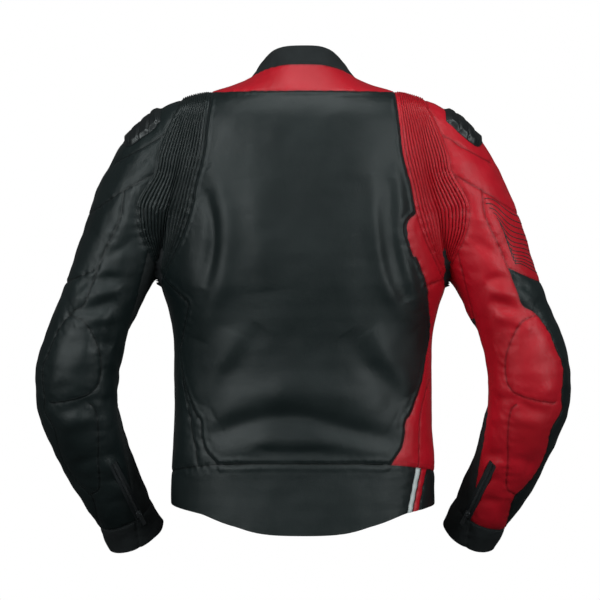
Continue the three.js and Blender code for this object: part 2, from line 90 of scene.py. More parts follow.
# Signed distance to a line in a plane, negative on its left or inside a closed one,
# and how far along it the nearest place is, from 0 to 1.
def measure(points, line, closed=False):
    line = np.array(line, float)
    if closed:
        line = np.vstack([line, line[:1]])
    best = np.full(len(points), 1e9)
    along = np.zeros(len(points))
    sign = np.ones(len(points))
    inside = np.zeros(len(points), bool)
    lengths = np.hypot(*np.diff(line, axis=0).T)
    start = 0
    for a, b, length in zip(line[:-1], line[1:], lengths):
        if length < 1e-6:
            continue
        step = b - a
        off = points - a
        raw = off @ step / length ** 2
        gap = off - np.clip(raw, 0, 1)[:, None] * step
        distance = np.hypot(gap[:, 0], gap[:, 1])
        near = distance < best
        best[near] = distance[near]
        along[near] = (start + raw[near] * length) / lengths.sum()
        sign[near] = np.where(step[0] * off[near, 1] > step[1] * off[near, 0], -1, 1)
        if closed and step[1] != 0:
            x = a[0] + (points[:, 1] - a[1]) * (step[0] / step[1])
            inside ^= ((a[1] > points[:, 1]) != (b[1] > points[:, 1])) & (points[:, 0] < x)
        start += length
    return best * (np.where(inside, -1, 1) if closed else sign), along


def loftOf(rings):
    n, k, _ = rings.shape
    i, j = np.meshgrid(np.arange(n - 1), np.arange(k), indexing="ij")
    a, b = i * k + j, i * k + (j + 1) % k
    quads = np.stack([a, b, b + k, a + k], -1).reshape(-1, 4).tolist()
    caps = [list(range(k))[::-1], list(range((n - 1) * k, n * k))]
    return rings.reshape(-1, 3), quads + caps


# ---------- the shape of the body and the sleeves ----------
# height, half width, depth of the back
bodyRows = [
    (-691, 192, 117), (-612, 192, 117), (-560, 191, 117), (-500, 188, 116), (-440, 187, 117),
    (-390, 187, 121), (-340, 195, 126), (-292, 208, 131), (-230, 209, 133), (-150, 206, 130),
    (-95, 201, 124), (-62, 196, 117), (-40, 182, 107), (-24, 146, 96), (-12, 104, 87),
    (0, 77, 80), (20, 62, 71), (65, 54, 61),
]
bodyEnds = (-678, 62)
squareness = 2.4
frontRadius, frontHeight, frontDepth = 1780, -306, 122  # the front is an arc seen from the side


def frontAt(z):
    return frontDepth - frontRadius + np.sqrt(frontRadius ** 2 - (z - frontHeight) ** 2)


def bodyRings(count, around):
    heights = np.linspace(*bodyEnds, count)
    turn = (np.arange(around) + 0.5) / around * 2 * np.pi
    s, c = np.sin(turn), np.cos(turn)
    rings = []
    for z, (half, back) in zip(heights, follow(bodyRows, heights)):
        depth = np.where(c > 0, back, frontAt(z))
        x = half * np.sign(s) * np.abs(s) ** (2 / squareness)
        y = -depth * np.sign(c) * np.abs(c) ** (2 / squareness)
        rings.append(np.stack([x, y, np.full(around, z)], 1))
    return np.array(rings)


# How far out of the body's cross section a point lies; 1 is on it.
def roundness(points):
    half, back = follow(bodyRows, points[:, 2]).T
    depth = np.where(points[:, 1] < 0, back, frontAt(points[:, 2]))
    return (np.abs(points[:, 0]) / half) ** squareness + (np.abs(points[:, 1]) / depth) ** squareness


# out, forward, height, half width, half depth
sleeveRows = np.array([
    (118, 0, -78, 62, 70), (168, 0, -102, 68, 76), (205, -1, -132, 67, 78), (229, -3, -172, 66, 76),
    (248, -5, -214, 66, 72), (266, -8, -258, 62, 68), (288, -11, -308, 57, 64), (307, -14, -352, 56, 61),
    (321, -16, -394, 57, 60), (329, -14, -430, 59, 60), (329, -7, -468, 59, 58), (320, 5, -506, 56, 55),
    (307, 23, -544, 52, 51), (292, 43, -580, 48, 47), (277, 62, -610, 45, 44), (264, 77, -635, 43, 41),
    (255, 88, -653, 43, 40), (246, 98, -670, 43, 40),
], float)
sleeveWay = sleeveRows[-1, :3] - sleeveRows[-3, :3]
sleeveWay /= np.linalg.norm(sleeveWay)
sleeveEnd = sleeveRows[-1, :3]
sleeveSpare = 18  # trimmed off later, for a clean end


def sleeveRings(count, around):
    rows = np.vstack([sleeveRows, np.append(sleeveEnd + sleeveSpare * sleeveWay, sleeveRows[-1, 3:])])
    lengths = np.append(0, np.cumsum(np.linalg.norm(np.diff(rows[:, :3], axis=0), axis=1)))
    made = follow(np.column_stack([lengths, rows]), np.linspace(0, lengths[-1], count))
    way = np.gradient(made[:, :3], axis=0)
    way /= np.linalg.norm(way, axis=1)[:, None]
    across = np.stack([-way[:, 2], np.zeros(count), way[:, 0]], 1)
    across /= np.linalg.norm(across, axis=1)[:, None]
    deep = np.cross(way, across)
    turn = (np.arange(around) + 0.5) / around * 2 * np.pi
    return (made[:, None, :3] + made[:, 3, None, None] * np.cos(turn)[None, :, None] * across[:, None]
            + made[:, 4, None, None] * np.sin(turn)[None, :, None] * deep[:, None])


# rings, and points around each
loftSteps = {"body": (120, 96), "sleeve": (100, 48)}


# The three lofts grown together into one smooth skin of triangles.
def grownTogether(voxel, smoothing):
    right = sleeveRings(*loftSteps["sleeve"])
    points, faces, start = [], [], 0
    for rings in (bodyRings(*loftSteps["body"]), right, right[:, ::-1] * (-1, 1, 1)):
        p, f = loftOf(rings)
        points.append(p)
        faces += [[v + start for v in face] for face in f]
        start += len(p)
    mesh = bpy.data.meshes.new("skin")
    mesh.from_pydata((np.vstack(points) * metres).tolist(), [], faces)
    holder = bpy.data.objects.new("skin", mesh)
    bpy.context.scene.collection.objects.link(holder)
    remesh = holder.modifiers.new("remesh", "REMESH")
    remesh.mode = "VOXEL"
    remesh.voxel_size = voxel * metres
    smooth = holder.modifiers.new("smooth", "SMOOTH")
    smooth.iterations = smoothing
    made = holder.evaluated_get(bpy.context.evaluated_depsgraph_get()).to_mesh()
    made.calc_loop_triangles()
    points = np.empty(len(made.vertices) * 3, np.float32)
    made.vertices.foreach_get("co", points)
    faces = np.empty(len(made.loop_triangles) * 3, np.int32)
    made.loop_triangles.foreach_get("vertices", faces)
    bpy.data.objects.remove(holder)
    points, faces = points.reshape(-1, 3) / metres, faces.reshape(-1, 3)
    a, b, c = (points[faces[:, k]] for k in range(3))
    if (np.einsum("ij,ij->i", a, np.cross(b, c))).sum() < 0:
        faces = faces[:, ::-1]
    return points.astype(float), faces.astype(np.int64)


# ---------- a surface that can be cut along lines ----------
snap = 0.14  # a point this near a line is taken to lie on it


class Surface:
    def __init__(self, points, faces, data=None):
        self.faces = faces
        self.data = dict(data or {})
        self.data["point"] = points
        if "normal" not in self.data:
            self.data["normal"] = self.normals()
        self.lines = {}

    @property
    def point(self):
        return self.data["point"]

    @property
    def normal(self):
        return self.data["normal"]

    def normals(self):
        a, b, c = (self.point[self.faces[:, k]] for k in range(3))
        cross = np.cross(b - a, c - a)
        total = np.zeros_like(self.point)
        for k in range(3):
            for axis in range(3):
                total[:, axis] += np.bincount(self.faces[:, k], cross[:, axis], len(self.point))
        return total / np.maximum(np.linalg.norm(total, axis=1), 1e-9)[:, None]

    def average(self, name):
        return self.data[name][self.faces].mean(1)

    # New points on some edges; each face is then split through them.
    def split(self, first, second, share):
        count = len(self.point)
        keys = np.minimum(first, second) * count + np.maximum(first, second)
        order = np.argsort(keys)
        keys, first, second, share = keys[order], first[order], second[order], share[order]
        for name, values in self.data.items():
            mix = share if values.ndim == 1 else share[:, None]
            self.data[name] = np.concatenate([values, values[first] * (1 - mix) + values[second] * mix])
        for name, on in self.lines.items():
            self.lines[name] = np.concatenate([on, on[first] & on[second]])
        self.data["normal"] /= np.maximum(np.linalg.norm(self.normal, axis=1), 1e-9)[:, None]
        if not len(keys):
            return
        f = self.faces
        ends = np.roll(f, -1, axis=1)
        wanted = np.minimum(f, ends) * count + np.maximum(f, ends)
        at = np.minimum(np.searchsorted(keys, wanted), len(keys) - 1)
        cut = np.where(keys[at] == wanted, at + count, -1)
        number = (cut >= 0).sum(1)
        kept = [f[number == 0]]
        for turn in range(3):
            v0, v1, v2 = (np.roll(f, -turn, axis=1)[:, k] for k in range(3))
            c0, c1, c2 = (np.roll(cut, -turn, axis=1)[:, k] for k in range(3))
            one = (number == 1) & (c0 >= 0)
            kept += [np.stack([v0, c0, v2], 1)[one], np.stack([c0, v1, v2], 1)[one]]
            two = (number == 2) & (c1 < 0)
            kept += [np.stack(t, 1)[two] for t in ((v0, c0, c2), (c0, v1, v2), (c0, v2, c2))]
            if turn == 0:
                three = number == 3
                corners = ((v0, c0, c2), (c0, v1, c1), (c2, c1, v2), (c0, c1, c2))
                kept += [np.stack(t, 1)[three] for t in corners]
        self.faces = np.concatenate(kept)

    def edges(self):
        pairs = np.concatenate([self.faces[:, [0, 1]], self.faces[:, [1, 2]], self.faces[:, [2, 0]]])
        return np.unique(np.sort(pairs, axis=1), axis=0)

    # Puts an edge of the mesh on each zero line of a field; seam tells where it is a sewn seam.
    def cut(self, name, field, where, seam=True):
        field = np.where(np.abs(field) < snap, 0, field)
        self.data[name] = field
        first, second = self.edges().T
        crossing = (field[first] * field[second] < 0) & where[first] & where[second]
        first, second = first[crossing], second[crossing]
        share = field[first] / (field[first] - field[second])
        count = len(self.point)
        if seam:
            self.lines[name] = (field == 0) & where
        self.split(first, second, share)
        self.data[name][count:] = 0
        if seam:
            self.lines[name][count:] = True

    def divide(self):
        first, second = self.edges().T
        self.split(first, second, np.full(len(first), 0.5))

    def part(self, chosen):
        faces = self.faces[chosen]
        used, faces = np.unique(faces, return_inverse=True)
        made = Surface(self.point[used], faces.reshape(-1, 3), {k: v[used] for k, v in self.data.items()})
        made.lines = {k: v[used] for k, v in self.lines.items()}
        return made


# ---------- materials ----------
class Signal:
    def __init__(self, paint, socket):
        self.paint, self.socket = paint, socket

    def math(self, kind, *others):
        return self.paint.node("ShaderNodeMath", {"operation": kind}, dict(enumerate((self, *others))))

    def __add__(self, other):
        return self.math("ADD", other)

    def __sub__(self, other):
        return self.math("SUBTRACT", other)

    def __rsub__(self, other):
        return self.paint.node("ShaderNodeMath", {"operation": "SUBTRACT"}, {0: other, 1: self})

    def __mul__(self, other):
        return self.math("MULTIPLY", other)

    __radd__ = __add__
    __rmul__ = __mul__

    def range(self, low, high, bottom=0.0, top=1.0):
        return self.paint.node("ShaderNodeMapRange", {"interpolation_type": "SMOOTHSTEP"},
                               {"Value": self, "From Min": low, "From Max": high,
                                "To Min": bottom, "To Max": top})


class Paint:
    def __init__(self, name, roughness=0.5, metallic=0.0, colour=(0.5, 0.5, 0.5), specular=0.5):
        self.material = bpy.data.materials.new(name)
        self.material.use_nodes = True
        self.tree = self.material.node_tree
        self.shader = self.tree.nodes["Principled BSDF"]
        for key, value in (("Roughness", roughness), ("Metallic", metallic), ("Base Color", (*colour, 1)),
                           ("Specular IOR Level", specular)):
            self.shader.inputs[key].default_value = value

    def node(self, kind, settings=None, inputs=None, output=0):
        made = self.tree.nodes.new(kind)
        for key, value in (settings or {}).items():
            setattr(made, key, value)
        for key, value in (inputs or {}).items():
            self.feed(made.inputs[key], value)
        return Signal(self, made.outputs[output])

    def feed(self, socket, value):
        if isinstance(value, Signal):
            self.tree.links.new(value.socket, socket)
        else:
            socket.default_value = value

    def set(self, key, value):
        self.feed(self.shader.inputs[key], value)

    def place(self):
        return self.node("ShaderNodeAttribute", {"attribute_name": "rest"}, output=1)

    # The seam attribute holds the amount of painted shade for seam and rib grooves.
    def seam(self):
        return self.node("ShaderNodeAttribute", {"attribute_name": "seam"}, output=2)

    def noise(self, place, scale, detail=2.0, rough=0.5):
        return self.node("ShaderNodeTexNoise", {}, {"Vector": place, "Scale": scale, "Detail": detail,
                                                    "Roughness": rough})

    def cells(self, place, scale, kind="F1"):
        return self.node("ShaderNodeTexVoronoi", {"feature": kind}, {"Vector": place, "Scale": scale})

    def mix(self, share, a, b):
        a, b = ((*value, 1) if isinstance(value, tuple) else value for value in (a, b))
        return self.node("ShaderNodeMix", {"data_type": "RGBA"}, {0: share, 6: a, 7: b}, 2)

    def bump(self, height, strength, distance):
        self.set("Normal", self.node("ShaderNodeBump", {}, {"Height": height, "Strength": strength,
                                                            "Distance": distance}))


def leather(name, colour, worn, roughness, grain=0.32, specular=0.36, shade=0.45):
    paint = Paint(name, roughness=roughness, colour=colour, specular=specular)
    place = paint.place()
    cloudy = paint.noise(place, 14.0, 3.0)
    tone = paint.mix(cloudy.range(0.3, 0.7), colour, worn)
    # Painted shade: dark, the colour times shade, is mixed in where the seam attribute is high, in seam and
    # rib grooves.
    dark = tuple(c * shade for c in colour)
    paint.set("Base Color", paint.mix(paint.seam().range(0.35, 1.0, 0.0, 0.85), tone, dark))
    pebble = paint.cells(place, 780.0, "DISTANCE_TO_EDGE").range(0.0, 0.28)
    crease = paint.noise(place, 150.0, 4.0, 0.6)
    paint.set("Roughness", cloudy.range(0.2, 0.8, roughness - 0.05, roughness + 0.07))
    paint.bump(pebble * 0.35 + crease * 0.9, grain, 0.0007)
    return paint.material


def stretch(name, colour, worn):
    paint = Paint(name, roughness=0.85, colour=colour)
    place = paint.place()
    paint.set("Base Color", paint.mix(paint.noise(place, 60.0).range(0.3, 0.7), colour, worn))
    weave = paint.cells(place, 1100.0)
    paint.bump(weave, 0.35, 0.0006)
    return paint.material


def plain(name, colour, roughness, metallic=0.0):
    paint = Paint(name, roughness=roughness, metallic=metallic, colour=colour)
    spots = paint.noise(paint.place(), 90.0, 3.0)
    paint.set("Roughness", spots.range(0.2, 0.8, roughness - 0.06, roughness + 0.08))
    return paint.material


blackLeather = leather("black leather", (0.0062, 0.0108, 0.0112), (0.0088, 0.0142, 0.0146), 0.41)
redLeather = leather("red leather", (0.530, 0.0065, 0.0185), (0.460, 0.0050, 0.0140), 0.42)
# The ribbed leathers take a lower shade factor, so a darker painted shade falls between their ribs.
ribBlack = leather("ribbed black leather", (0.0095, 0.0140, 0.0143), (0.0120, 0.0170, 0.0173), 0.34,
                   shade=0.04)
ribRed = leather("ribbed red leather", (0.520, 0.0065, 0.0180), (0.470, 0.0055, 0.0140), 0.38, shade=0.16)
whiteLeather = leather("white leather", (0.66, 0.70, 0.70), (0.60, 0.64, 0.64), 0.45)
glossBlack = plain("hard black", (0.007, 0.009, 0.010), 0.38)
neoprene = stretch("neoprene", (0.0060, 0.0085, 0.0095), (0.0085, 0.0115, 0.0125))
stretchCloth = stretch("stretch cloth", (0.0075, 0.0100, 0.0105), (0.0110, 0.0140, 0.0145))
liningCloth = stretch("lining cloth", (0.012, 0.014, 0.016), (0.020, 0.022, 0.024))
foam = plain("armour foam", (0.16, 0.17, 0.18), 0.8)
blackThread = plain("black thread", (0.018, 0.021, 0.022), 0.6)
redThread = plain("red thread", (0.30, 0.006, 0.011), 0.6)
tapeCloth = plain("zip tape", (0.012, 0.015, 0.017), 0.75)
zipMetal = plain("zip metal", (0.20, 0.21, 0.22), 0.32, 0.9)
print("materials made")


# ---------- meshes ----------
def build(name, points, faces, index, loops, materials, rest=None, seam=None):
    mesh = bpy.data.meshes.new(name)
    mesh.from_pydata(points * metres, [], faces)
    for material in materials:
        mesh.materials.append(material)
    mesh.polygons.foreach_set("material_index", np.asarray(index, np.int32))
    mesh.polygons.foreach_set("use_smooth", np.ones(len(faces), bool))
    stored = mesh.attributes.new("rest", "FLOAT_VECTOR", "POINT")
    rest = points if rest is None else rest
    stored.data.foreach_set("vector", (rest * metres).astype(np.float32).ravel())
    # seam is the painted shade amount, stored for the leather shaders.
    if seam is not None:
        stored = mesh.attributes.new("seam", "FLOAT", "POINT")
        stored.data.foreach_set("value", seam.astype(np.float32))
    if loops is not None:
        mesh.normals_split_custom_set(loops.reshape(-1, 3).tolist())
    made = bpy.data.objects.new(name, mesh)
    bpy.context.scene.collection.objects.link(made)
    return made


def faceNormals(points, faces):
    a, b, c = (points[faces[:, k]] for k in range(3))
    cross = np.cross(b - a, c - a)
    return cross / np.maximum(np.linalg.norm(cross, axis=1), 1e-12)[:, None]


# Closes a surface into a body: its outer face, an inner face a thickness below it, and the rim.
def shell(surface, thickness, lift=0.0):
    p, n, f = surface.point, surface.normal, surface.faces
    count = len(p)
    thickness, lift = np.broadcast_to(thickness, count), np.broadcast_to(lift, count)
    points = np.vstack([p + n * lift[:, None], p + n * (lift - thickness)[:, None]])
    sides = np.concatenate([f[:, [0, 1]], f[:, [1, 2]], f[:, [2, 0]]])
    forward = sides[:, 0] * count + sides[:, 1]
    border = sides[~np.isin(sides[:, 1] * count + sides[:, 0], forward)]
    a, b = border.T
    rim = np.concatenate([np.stack([b, a, a + count], 1), np.stack([b, a + count, b + count], 1)])
    faces = np.concatenate([f, f[:, ::-1] + count, rim])
    flat = faceNormals(points, rim)
    loops = np.concatenate([n[f], -n[f[:, ::-1]], np.repeat(flat[:, None], 3, 1)])
    index = np.concatenate([np.zeros(len(f), int), np.ones(len(f), int), np.zeros(len(rim), int)])
    return points, faces, loops, index


# Small blocks set on frames: each frame is a place and its across, along and out ways.
def blocks(frames, size):
    x0, x1, y0, y1, z0, z1 = size
    corners = np.array([(x, y, z) for z in (z0, z1) for y in (y0, y1) for x in (x0, x1)], float)
    sides = [(0, 2, 3, 1), (4, 5, 7, 6), (0, 1, 5, 4), (2, 6, 7, 3), (0, 4, 6, 2), (1, 3, 7, 5)]
    faces = np.array([t for a, b, c, d in sides for t in ((a, b, c), (a, c, d))])
    points, made = [], []
    for k, (place, across, along, out) in enumerate(frames):
        points.append(place + corners @ np.array([across, along, out]))
        made.append(faces + 8 * k)
    return np.vstack(points), np.vstack(made)


def joined(parts):
    points, faces, start = [], [], 0
    for p, f in parts:
        points.append(p)
        faces.append(f + start)
        start += len(p)
    return np.vstack(points), np.vstack(faces)


# ---------- seam lines ----------
hemLine = [(-160, -667), (-118, -661), (-106, -647), (-84, -630), (-30, -620), (40, -613), (160, -606)]
waistLine = [(-160, -557), (-116, -558), (-60, -566), (0, -572), (60, -572), (160, -570)]
collarSeam = [(-160, 22), (-74, 17), (-40, 7), (0, -1), (40, -14), (90, -40), (160, -60)]
collarTop = [(-160, 62), (-64, 44), (-54, 39), (-42, 30), (-30, 22), (0, 10), (40, -4), (90, -20), (160, -40)]
backEdge = [(133, -22), (139, -70), (144, -115), (156, -162), (163, -198), (176, -235), (188, -260),
            (203, -291)]
accordionEdge = [(176, 20), (178, -34), (189, -60), (200, -85), (209, -112), (214, -139), (228, -163),
                 (238, -183), (239, -204), (234, -230), (222, -255), (208, -284)]
backLeft = [(203, -291), (176, -318), (165, -330), (172, -365), (178, -400), (172, -440), (158, -480),
            (148, -497), (146, -520), (140, -540), (126, -556), (118, -575)]
backRight = [(163, -198), (148, -213), (148, -230), (158, -259), (164, -264), (178, -300), (181, -327),
             (184, -355), (183, -382), (178, -407), (173, -438), (164, -465), (155, -488), (148, -497),
             (146, -520), (142, -536), (132, -551), (118, -575)]
underSeam = [(196, -40), (206, -190), (216, -235), (225, -262), (240, -322), (262, -400), (270, -450),
             (268, -490), (262, -530), (255, -570), (250, -610), (240, -690), (230, -760)]
outerSeam = [(258, -165), (262, -200), (272, -225), (285, -250), (296, -277), (306, -303), (316, -330),
             (335, -341), (355, -368), (365, -392), (376, -417), (377, -438), (374, -465), (375, -484),
             (360, -511), (355, -540), (346, -565), (326, -594), (309, -610), (303, -635), (299, -660),
             (292, -700), (288, -760)]
contrastLine = [(280, -270), (296, -277), (339, -295), (420, -322)]
flip = np.array([-1, 1])
smoothEdge, smoothAccordion = bend(backEdge), bend(accordionEdge)
accordionShape = np.vstack([smoothAccordion, smoothEdge[::-1], [(133, 40)]])
backShape = np.vstack([smoothEdge[smoothEdge[:, 1] > -198], bend(backRight), bend(backLeft)[::-1] * flip,
                       smoothEdge[::-1] * flip])

skinMesh = {"voxel": 3.0, "smoothing": 26}
skin = Surface(*grownTogether(skinMesh["voxel"], skinMesh["smoothing"]))
print("skin", len(skin.faces))
far = 50.0  # stands for a distance that doesn't count


armpit = {"out": 212, "height": -400, "clear": 1.06}


# Past the armhole, or low down and clear of the body.
def onSleeve(points):
    low = (points[:, 2] < armpit["height"]) & (roundness(points) > armpit["clear"])
    return (np.abs(points[:, 0]) > armpit["out"]) | low


# The skin's points with the left side laid on the right one.
def mirrored():
    return np.column_stack([np.abs(skin.point[:, 0]), skin.point[:, 1:]])


# Distance from a closed outline for the points near it.
def outlined(view, shape, near):
    field = np.full(len(view), far)
    field[near] = measure(view[near], shape, True)[0]
    return field


# Cuts along an open line as seen from behind, on one side or mirrored on both.
def cutLine(name, line, sides):
    for side in sides:
        points = skin.point[:, [0, 2]] * (side, 1)
        near = (np.abs(points - np.mean(line, 0)) < np.ptp(line, axis=0) / 2 + 14).all(1)
        field, along = np.full(len(points), far), np.full(len(points), -1.0)
        field[near], along[near] = measure(points[near], bend(line))
        beside = near & (skin.normal[:, 1] < -0.02) & (along > -0.03) & (along < 1.03)
        skin.cut(f"{name}{'+' if side > 0 else '-'}", field, beside)


# The open ends: the hem, the neck and the sleeves.
x, y, z = skin.point.T
skin.cut("hem", z - follow(hemLine, y), ~onSleeve(skin.point), seam=False)
skin.data["hem"][onSleeve(skin.point)] = far
x, y, z = skin.point.T
skin.cut("neck", z - follow(collarTop, y), z > -60, seam=False)
past = (mirrored() - sleeveEnd) @ sleeveWay
skin.cut("end", past, onSleeve(skin.point) & (skin.point[:, 2] < -600), seam=False)
skin.data["end"][~onSleeve(skin.point)] = -far
skin = skin.part((skin.average("hem") > 0) & (skin.average("neck") < 0) & (skin.average("end") < 0))

# The seams between the panels of the body.
x, y, z = skin.point.T
skin.cut("collar", z - follow(collarSeam, y), z > -70)
x, y, z = skin.point.T
skin.cut("waist", z - follow(waistLine, y), ~onSleeve(skin.point) & (z < -500))
x, y, z = skin.point.T
field = outlined(skin.point[:, [0, 2]], backShape, y < 12)
skin.cut("back", field, (y < 12) & (np.abs(x) < 214) & (skin.data["waist"] > -0.1))
x, y, z = mirrored().T
near = (y < 12) & (x > 110) & (z > -320)
skin.cut("accordion", outlined(mirrored()[:, [0, 2]], accordionShape, near), near)
skin.cut("shoulderLine", skin.point[:, 1] + 2, (skin.data["accordion"] < 8) & (skin.point[:, 2] > -60))
x, y, z = mirrored().T
skin.cut("front", y - 0.5 * x + 10, ~onSleeve(skin.point))
x, y, z = mirrored().T
skin.cut("gap", x - 7.4, (y > 40) & ~onSleeve(skin.point), seam=False)

# The seams of the sleeves.
field = measure(mirrored()[:, [0, 2]], bend(underSeam))[0]
skin.cut("under", field, onSleeve(skin.point) & (skin.data["accordion"] > -0.1))
outerShape = np.vstack([bend(outerSeam), [(470, -760), (470, -295)]])
field = measure(mirrored()[:, [0, 2]], outerShape, True)[0]
skin.cut("outer", field, onSleeve(skin.point) & (skin.data["accordion"] > -0.1))
field = measure(mirrored()[:, [0, 2]], bend(contrastLine))[0]
skin.cut("contrast", field, onSleeve(skin.point) & (skin.data["outer"] < 0.1) & (skin.point[:, 2] > -420))
past = (mirrored() - sleeveEnd) @ sleeveWay
skin.cut("cuff", past + 44, onSleeve(skin.point) & (skin.point[:, 2] < -560))

# Seams within a panel, and the sides they are on.
eachSide = (1, -1)
panelSeams = {
    "band": ([(196, -83), (206, -88), (238, -107), (270, -123)], eachSide),
    "bandLow": ([(206, -136), (230, -150), (258, -165)], eachSide),
    "elbow": ([(335, -345), (315, -355), (300, -380), (291, -411), (294, -442), (306, -458), (335, -468),
               (362, -472)], eachSide),
    "elbowLow": ([(306, -475), (299, -485), (296, -520), (297, -560), (297, -597), (309, -607)], eachSide),
    "sideRight": ([(183, -439), (176, -463), (170, -486), (168, -520), (167, -561)], (1,)),
    "sideLeft": ([(174, -439), (166, -475), (160, -510), (155, -536), (152, -561)], (-1,)),
    "gusset": ([(176, -303), (206, -292)], (1,)),
}
for name, (line, sides) in panelSeams.items():
    cutLine(name, line, sides)
x, y, z = skin.point.T
skin.cut("yokeEnd", x + 136, (skin.data["back"] > -0.1) & (z > -110) & (np.abs(x + 136) < 30)
         & (skin.data["collar"] < 0))
stripes = {"top": -528, "foot": -691, "lean": 33, "white": (171, 7), "red": (179, 8)}
for name in ("white", "red"):
    place, width = stripes[name]
    foot = place - stripes["lean"]
    shape = [(place, stripes["top"]), (foot, stripes["foot"]), (foot + width, stripes["foot"]),
             (place + width, stripes["top"])]
    field = measure(skin.point[:, [0, 2]], shape, True)[0]
    skin.cut(f"stripe {name}", field, (skin.point[:, 1] < 10) & (skin.data["waist"] < 0.1)
             & ~onSleeve(skin.point))


# ---------- zips: where they run ----------
def unit(v):
    return v / np.linalg.norm(v)


def zipFrame(origin, along, out):
    along = unit(np.array(along, float))
    across = unit(np.cross(along, out))
    return np.array(origin, float), across, along, np.cross(across, along)


def mirroredFrame(place):
    origin, across, along, out = (v * (-1, 1, 1) for v in place)
    return origin, -across, along, out


pocketZip = {"foot": (112, 89.99, -570), "top": (112, 101.81, -440), "out": (0.351389, 0.93235, -0.085148),
             "length": 130}
cuffZip = {"foot": (239.4158, 44.4733, -642.0893), "along": (0.343797, -0.548207, 0.762412),
           "out": (-0.622241, -0.741065, -0.252268), "length": 108}
pocketPlace = zipFrame(pocketZip["foot"], np.subtract(pocketZip["top"], pocketZip["foot"]), pocketZip["out"])
cuffPlace = zipFrame(cuffZip["foot"], cuffZip["along"], cuffZip["out"])
zipSlot = {"halfWidth": 7.2, "reach": 18}  # the opening that a zip lies in
for name, place, length in (("pocket", pocketPlace, pocketZip["length"]),
                            ("zip", cuffPlace, cuffZip["length"])):
    origin, across, along, out = place
    off = mirrored() - origin
    u, v = np.abs(off @ across), np.abs(off @ along - length / 2)
    field = np.maximum(u - zipSlot["halfWidth"], v - length / 2)
    skin.cut(name, field, (np.abs(off @ out) < zipSlot["reach"]) & (field < 30), seam=name == "pocket")
    beyond = np.abs((mirrored() - origin) @ out) >= zipSlot["reach"]
    skin.data[name] = np.where(beyond, far, np.clip(skin.data[name], None, 200))
print("cut", len(skin.faces))

# ---------- folds, puckers and grooves ----------
# Points (x, z) of a fold seen from behind, its height and its width.
backFolds = [
    (5.0, 15, [(-139, -135), (-128, -149), (-117, -174), (-109, -210), (-109, -250), (-118, -301),
               (-132, -338), (-149, -380)]),
    (-3.5, 9, [(-140, -165), (-131, -205), (-129, -236), (-132, -265), (-140, -305)]),
    (3.5, 12, [(132, -127), (136, -163), (139, -200), (145, -250), (154, -301), (167, -338)]),
    (-3.0, 9, [(125, -150), (128, -221), (138, -279), (151, -323)]),
    (3.5, 13, [(100, -140), (102, -214), (110, -265), (123, -309), (144, -341), (165, -360)]),
    (-2.5, 9, [(113, -178), (116, -236), (129, -294), (146, -327)]),
    (2.5, 26, [(-68, -150), (-60, -236), (-51, -310)]),
    (-3.0, 18, [(-60, -360), (-90, -410), (-117, -446), (-140, -490)]),
    (3.0, 17, [(-95, -370), (-120, -420), (-150, -470)]),
    (-3.0, 18, [(60, -370), (90, -415), (119, -446), (145, -495)]),
    (3.0, 17, [(95, -366), (125, -410), (158, -455)]),
    (-4.5, 14, [(-150, -530), (-122, -513), (-91, -500), (-48, -490), (-4, -491), (54, -505), (112, -521),
                (146, -530)]),
    (4.0, 24, [(-125, -492), (-60, -460), (0, -454), (60, -466), (128, -500)]),
    (3.0, 14, [(-130, -545), (-60, -527), (0, -523), (60, -531), (135, -548)]),
    (-1.6, 6, [(-70, -536), (-30, -543), (20, -541), (70, -548)]),
]
armFolds = [
    (-5.0, 8, [(268, -322), (290, -330), (318, -338), (345, -348)]),
    (4.0, 9, [(262, -306), (286, -312), (312, -318), (335, -328)]),
    (-4.0, 7, [(262, -296), (282, -291), (306, -296), (326, -306)]),
    (4.0, 9, [(274, -345), (300, -352), (330, -362)]),
    (-3.5, 8, [(240, -232), (262, -248), (288, -262), (305, -284)]),
    (3.0, 12, [(236, -205), (262, -214), (290, -236)]),
    (-3.0, 8, [(276, -392), (292, -385), (310, -388)]),
    (-3.5, 8, [(280, -470), (300, -466), (330, -478), (358, -486)]),
    (3.0, 10, [(276, -500), (300, -494), (332, -500), (352, -512)]),
    (-3.0, 8, [(262, -552), (285, -548), (315, -556), (338, -566)]),
    (-2.5, 7, [(258, -590), (275, -585), (300, -590)]),
    (3.0, 10, [(262, -572), (290, -566), (322, -576)]),
    (-2.5, 7, [(248, -622), (268, -616), (292, -622)]),
]
innerArmFolds = [
    (-7.0, 10, [(278, -400), (310, -408), (350, -398), (380, -388)]),
    (6.0, 11, [(278, -424), (320, -430), (375, -420)]),
    (-8.0, 10, [(275, -450), (320, -452), (380, -446)]),
    (6.0, 11, [(275, -474), (315, -474), (372, -470)]),
    (-6.0, 10, [(268, -498), (305, -500), (362, -498)]),
    (-4.0, 10, [(258, -350), (290, -352), (345, -345)]),
    (-4.0, 10, [(262, -535), (295, -540), (345, -545)]),
]
frontFolds = [
    (-4.0, 14, [(40, -180), (70, -230), (110, -280), (160, -310)]),
    (4.0, 14, [(30, -230), (60, -280), (100, -330), (150, -360)]),
    (-4.0, 12, [(30, -500), (80, -520), (140, -515), (180, -500)]),
    (4.0, 14, [(20, -470), (80, -488), (150, -480)]),
]


def folded(points, normals, folds, facing, mirrored=True):
    view = np.column_stack([np.abs(points[:, 0]) if mirrored else points[:, 0], points[:, 2]])
    turned = ease(0.0, 0.45, normals[:, 1] * facing)
    total = np.zeros(len(points))
    for height, width, line in folds:
        line = bend(line, 4)
        reach = 3 * width
        near = ((view > line.min(0) - reach) & (view < line.max(0) + reach)).all(1) & (turned > 0)
        distance, along = measure(view[near], line)
        inside = np.clip(along, 0, 1)
        taper = np.sqrt(np.clip(np.sin(np.pi * inside), 0, 1))
        total[near] += height * taper * np.exp(-(distance / width) ** 2)
    return total * turned


